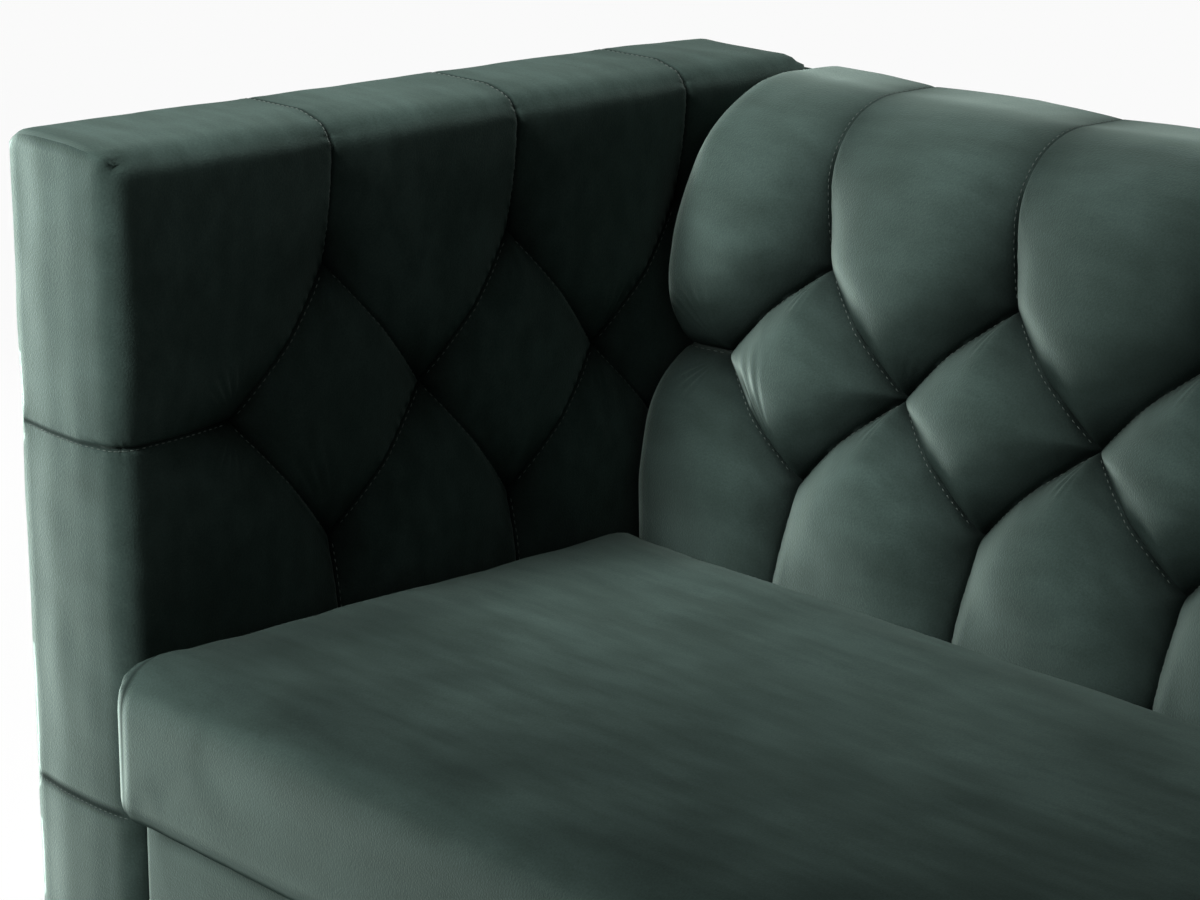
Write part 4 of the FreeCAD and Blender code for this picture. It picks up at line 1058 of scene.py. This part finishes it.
# Each finish is named for what it is made of. Sizes are those of its grain, in millimetres.
FINISHES = {
    "velvet": make_velvet("green_velvet"),
    # sawn beech: pale and dull, with lines along the timber
    "frame_wood": make_plain("sawn_beech", "a87f52", "cda679", 6, 0.6, stretch=(0.12, 1, 1)),
    # pressed wood fibre: brown, flat and faintly mottled
    "board": make_plain("hardboard", "6b4d30", "8a6844", 3, 0.7),
    # dark stain under a satin varnish: nearly black, with a soft gleam and grain up the leg
    "leg_wood": make_plain(
        "stained_wood", "120d0a", "2a1f18", 5, 0.34, stretch=(1, 1, 0.1), spec=0.5),
    # zinc-plated steel: grey metal with a blurred gleam
    "steel": make_plain("zinc_steel", "8d9092", "b6b8b9", 2, 0.38, metal=1.0, bump_mm=0.05),
    # moulded nylon: black, with a broad soft gleam
    "glide": make_plain("black_nylon", "0c0c0c", "1a1a1a", 2, 0.45),
    # thin black lining: matt and nearly black
    "lining": make_weave("black_lining", "0b0d0c", "1d211f", 1.5),
    # jute hessian: straw-coloured and open, with coarse uneven threads
    "felt": make_weave("jute_hessian", "7a6242", "b3966a", 2.5),
    # webbing: a dull brown tape
    "webbing": make_weave("webbing", "3c352c", "6a6052", 2.0),
    # foam: cream, quite matt, with fine pores drawn at 2 mm so that they show
    "foam": make_plain("foam", "d8cda8", "ece4c8", 2, 0.95),
}
# polyester sewing thread: a shade lighter than the seam that it lies in
thread = make_plain("polyester_thread", "28322e", "3d4943", 1, 0.7)


def finish(piece, material):
    piece.data.materials.clear()
    piece.data.materials.append(material)


# Share of the sheen that is lost on faces that look to the left or the right
SIDE_BRUSHED = 0.55


def brush(piece, brushed=0.93):
    """Facing up, down or sideways a piece's pile is brushed flat and shines less."""
    facing = np.empty(len(piece.data.vertices) * 3, np.float32)
    piece.data.vertices.foreach_get("normal", facing)
    aside, up = np.abs(facing[0::3]), facing[2::3]
    shine = 1 - brushed * ease((up - 0.25) / 0.5) - ease((-0.05 - up) / 0.3)
    point_attribute(piece, "shine", shine * (1 - SIDE_BRUSHED * ease((aside - 0.45) / 0.45)))


for row in frame["record"]["subparts"]:
    finish(frame["nodes"][row["node"]], FINISHES[row["material_slot"]])


def dress(piece, nodes, body="sofa", slot="velvet", material=None):
    """The nodes that a piece stands for, its filling, its body, its slot and its finish."""
    finish(piece, material or FINISHES[slot])
    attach(piece, body)
    if nodes:
        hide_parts(*nodes)


back_pad = make_back_pad()
brush(back_pad, 0.6)
dress(back_pad, ["back_cover", "back_foam"])
back_stitches = make_stitches("back_stitches", back_seams, lambda flat: back_surface(flat)[0])
dress(back_stitches, [], material=thread)

# Panels where the frame has their covers, the outer ones ending a little lower, under the pads
SIDE_PANEL_X = (1.0465, 1.0505)
SIDE_PANEL_Y = (FRONT_Y + 0.004, 0.401)
SIDE_PANEL_Z = (FLOOR_GAP, ARM_TOP - 0.012)
REAR_PANEL = (-1.046, 0.398, FLOOR_GAP), (1.046, 0.4025, BACK_TOP - 0.010)
RAIL_PANEL = (-0.9045, -0.366, FLOOR_GAP), (0.9045, -0.353, DECK_Z - 0.0005)

arm_sewn = arm_seams + [((0.0, ARM_LOWER_SEAM), (-arm_wide, ARM_LOWER_SEAM))]
for side, sign in (("left", -1), ("right", 1)):
    pad = make_arm_pad(side)
    brush(pad)
    dress(pad, [f"{side}_arm_cover", f"{side}_arm_foam"])
    stitches = make_stitches(
        f"{side}_arm_stitches", arm_sewn, lambda flat: arm_surface(arm_block(flat), side)[0]
    )
    dress(stitches, [], material=thread)
    low, high = zip(sorted(sign * x for x in SIDE_PANEL_X), SIDE_PANEL_Y, SIDE_PANEL_Z)
    panel = make_panel(f"{side}_outside_panel", low, high, thin=0, puff=0.002, seed=31 + sign)
    brush(panel)
    dress(panel, [f"{side}_outside_arm_cover"])

rear_panel = make_panel("outside_back_panel", *REAR_PANEL, thin=1, puff=0.002, seed=41)
brush(rear_panel)
dress(rear_panel, ["outside_back_cover"])

rail_panel = make_panel("front_rail_panel", *RAIL_PANEL, thin=1, puff=0.003, seed=45)
brush(rail_panel)
dress(rail_panel, ["front_rail_cover"])

seat_cushion = make_seat_cushion()
brush(seat_cushion)
dress(seat_cushion, ["seat_cushion_cover", "seat_cushion_core"], "seat_cushion")

zip_tape, zip_teeth, zip_pull = make_zip()
dress(zip_tape, ["cushion_zip_tape"], body="seat_cushion", slot="lining")
dress(zip_teeth, [], body="seat_cushion", slot="lining", material=FINISHES["glide"])
dress(zip_pull, ["cushion_zip_slider"], body="zip_slider", slot="steel")

deck_sheet = make_sheet(
    "deck_sheet", (-0.983, -0.353), (0.983, 0.3437), level=0.2918, thick=0.0012, sag=0.0003, seed=51
)
dress(deck_sheet, ["deck_cloth_layer"], slot="lining")

HOLE_HALF = 0.028
END_LEGS_Y, MIDDLE_LEGS_Y = (-0.313, 0.355), (-0.283, 0.280)
leg_holes = [
    (x - HOLE_HALF, y - HOLE_HALF, x + HOLE_HALF, y + HOLE_HALF)
    for x, legs_y in ((-1.013, END_LEGS_Y), (0.0, MIDDLE_LEGS_Y), (1.013, END_LEGS_Y))
    for y in legs_y
]
underneath = make_sheet(
    "underneath_sheet", (-1.041, -0.359), (1.041, 0.393), level=0.1298, thick=0.0008, sag=0.0025,
    seed=52, holes=leg_holes,
)
dress(underneath, ["dust_cover"], slot="lining")


# Floor, light and camera


def seen_by_eye(tree):
    """1 where the eye looks straight at something, or by way of a mirror or glass."""
    rays = put(tree, "ShaderNodeLightPath").outputs
    eye = calculated(tree, "MAXIMUM", rays["Is Camera Ray"], rays["Is Glossy Ray"])
    return calculated(tree, "MAXIMUM", eye, rays["Is Transmission Ray"])


# white paper: seen as plain white with the least shadow, while the light that it throws back is
# that of paper
bpy.ops.mesh.primitive_plane_add(size=60, location=(0, 0, 0))
floor = bpy.context.object
floor.name = "floor"
paper, tree = new_finish("white_floor")
plain = put(tree, "ShaderNodeBsdfDiffuse", None, {"Color": linear("e0e0de")})
glow = put(tree, "ShaderNodeEmission", None, {"Color": (1, 1, 1, 1), "Strength": 1.0})
share = calculated(tree, "MULTIPLY", seen_by_eye(tree), 0.95)
mixed = put(tree, "ShaderNodeMixShader", None, {
    "Fac": share, 1: plain.outputs[0], 2: glow.outputs[0]})
put(tree, "ShaderNodeOutputMaterial", None, {"Surface": mixed.outputs[0]})
finish(floor, paper)

# the studio: seen as white, but only a little of its light falls on the sofa
world = bpy.data.worlds.new("studio")
bpy.context.scene.world = world
tree = empty_tree(world)
level = mapped(tree, seen_by_eye(tree), To_Min=0.15, To_Max=1.0)
sky = put(tree, "ShaderNodeBackground", None, {"Color": (1, 1, 1, 1), "Strength": level})
put(tree, "ShaderNodeOutputWorld", None, {"Surface": sky.outputs[0]})


def softbox(name, place, aim, wide, tall, power, spread=180):
    """A lamp with a rectangular face, its size in metres, its power in watts."""
    data = bpy.data.lights.new(name, "AREA")
    data.shape = "RECTANGLE"
    data.size, data.size_y = wide, tall
    data.energy = power
    data.spread = math.radians(spread)
    lamp = linked(name, data)
    lamp.location = place
    lamp.rotation_mode = "QUATERNION"
    lamp.rotation_quaternion = (Vector(aim) - Vector(place)).to_track_quat("-Z", "Y")


softbox("key_light", (-1.10, -2.0, 1.75), (-1.0, 0.0, 0.55), 0.40, 0.8, 7.6, spread=50)
softbox("top_light", (-1.6, -0.6, 3.0), (-0.9, 0.15, 0.6), 0.6, 0.6, 6.8, spread=50)
softbox("fill_light", (1.5, -3.2, 1.2), (1.05, -0.2, 0.5), 0.9, 0.9, 9, spread=46)
softbox("rear_light", (0.3, 4.2, 0.95), (0, 0.4, 0.5), 2.2, 1.2, 85)
for side, sign in (("right", 1), ("left", -1)):
    place, aim = (sign * 4.4, 0.2, 0.40), (sign * 1.0, 0.1, 0.45)
    softbox(f"{side}_light", place, aim, 1.2, 0.5, 38, spread=60)

# The camera as it was solved from the straight edges of arm, seat and back: focal length in
# pixels of a picture 1200 wide, place in metres, turn in degrees
FOCAL_PX, PICTURE_PX, SENSOR_MM = 3260.8, 1200, 36
CAMERA_PLACE = (1.1875, -1.7547, 1.3177)
CAMERA_YAW, CAMERA_PITCH, CAMERA_ROLL = 47.90, 16.01, 0.24

camera_data = bpy.data.cameras.new("camera")
camera_data.sensor_width = SENSOR_MM
camera_data.lens = FOCAL_PX / PICTURE_PX * SENSOR_MM
camera = linked("camera", camera_data)
yaw, pitch, roll = (math.radians(a) for a in (CAMERA_YAW, CAMERA_PITCH, CAMERA_ROLL))
level = math.cos(pitch)
forward = Vector((-math.sin(yaw) * level, math.cos(yaw) * level, -math.sin(pitch)))
right = Vector((math.cos(yaw), math.sin(yaw), 0))
upward = right.cross(forward)
right, upward = (
    math.cos(roll) * right + math.sin(roll) * upward,
    -math.sin(roll) * right + math.cos(roll) * upward,
)
turn = Matrix((right, upward, -forward)).transposed()
camera.matrix_world = Matrix.Translation(CAMERA_PLACE) @ turn.to_4x4()
camera_data.clip_start, camera_data.clip_end = 0.05, 200
bpy.context.scene.camera = camera
bpy.context.scene.view_settings.view_transform = "Standard"
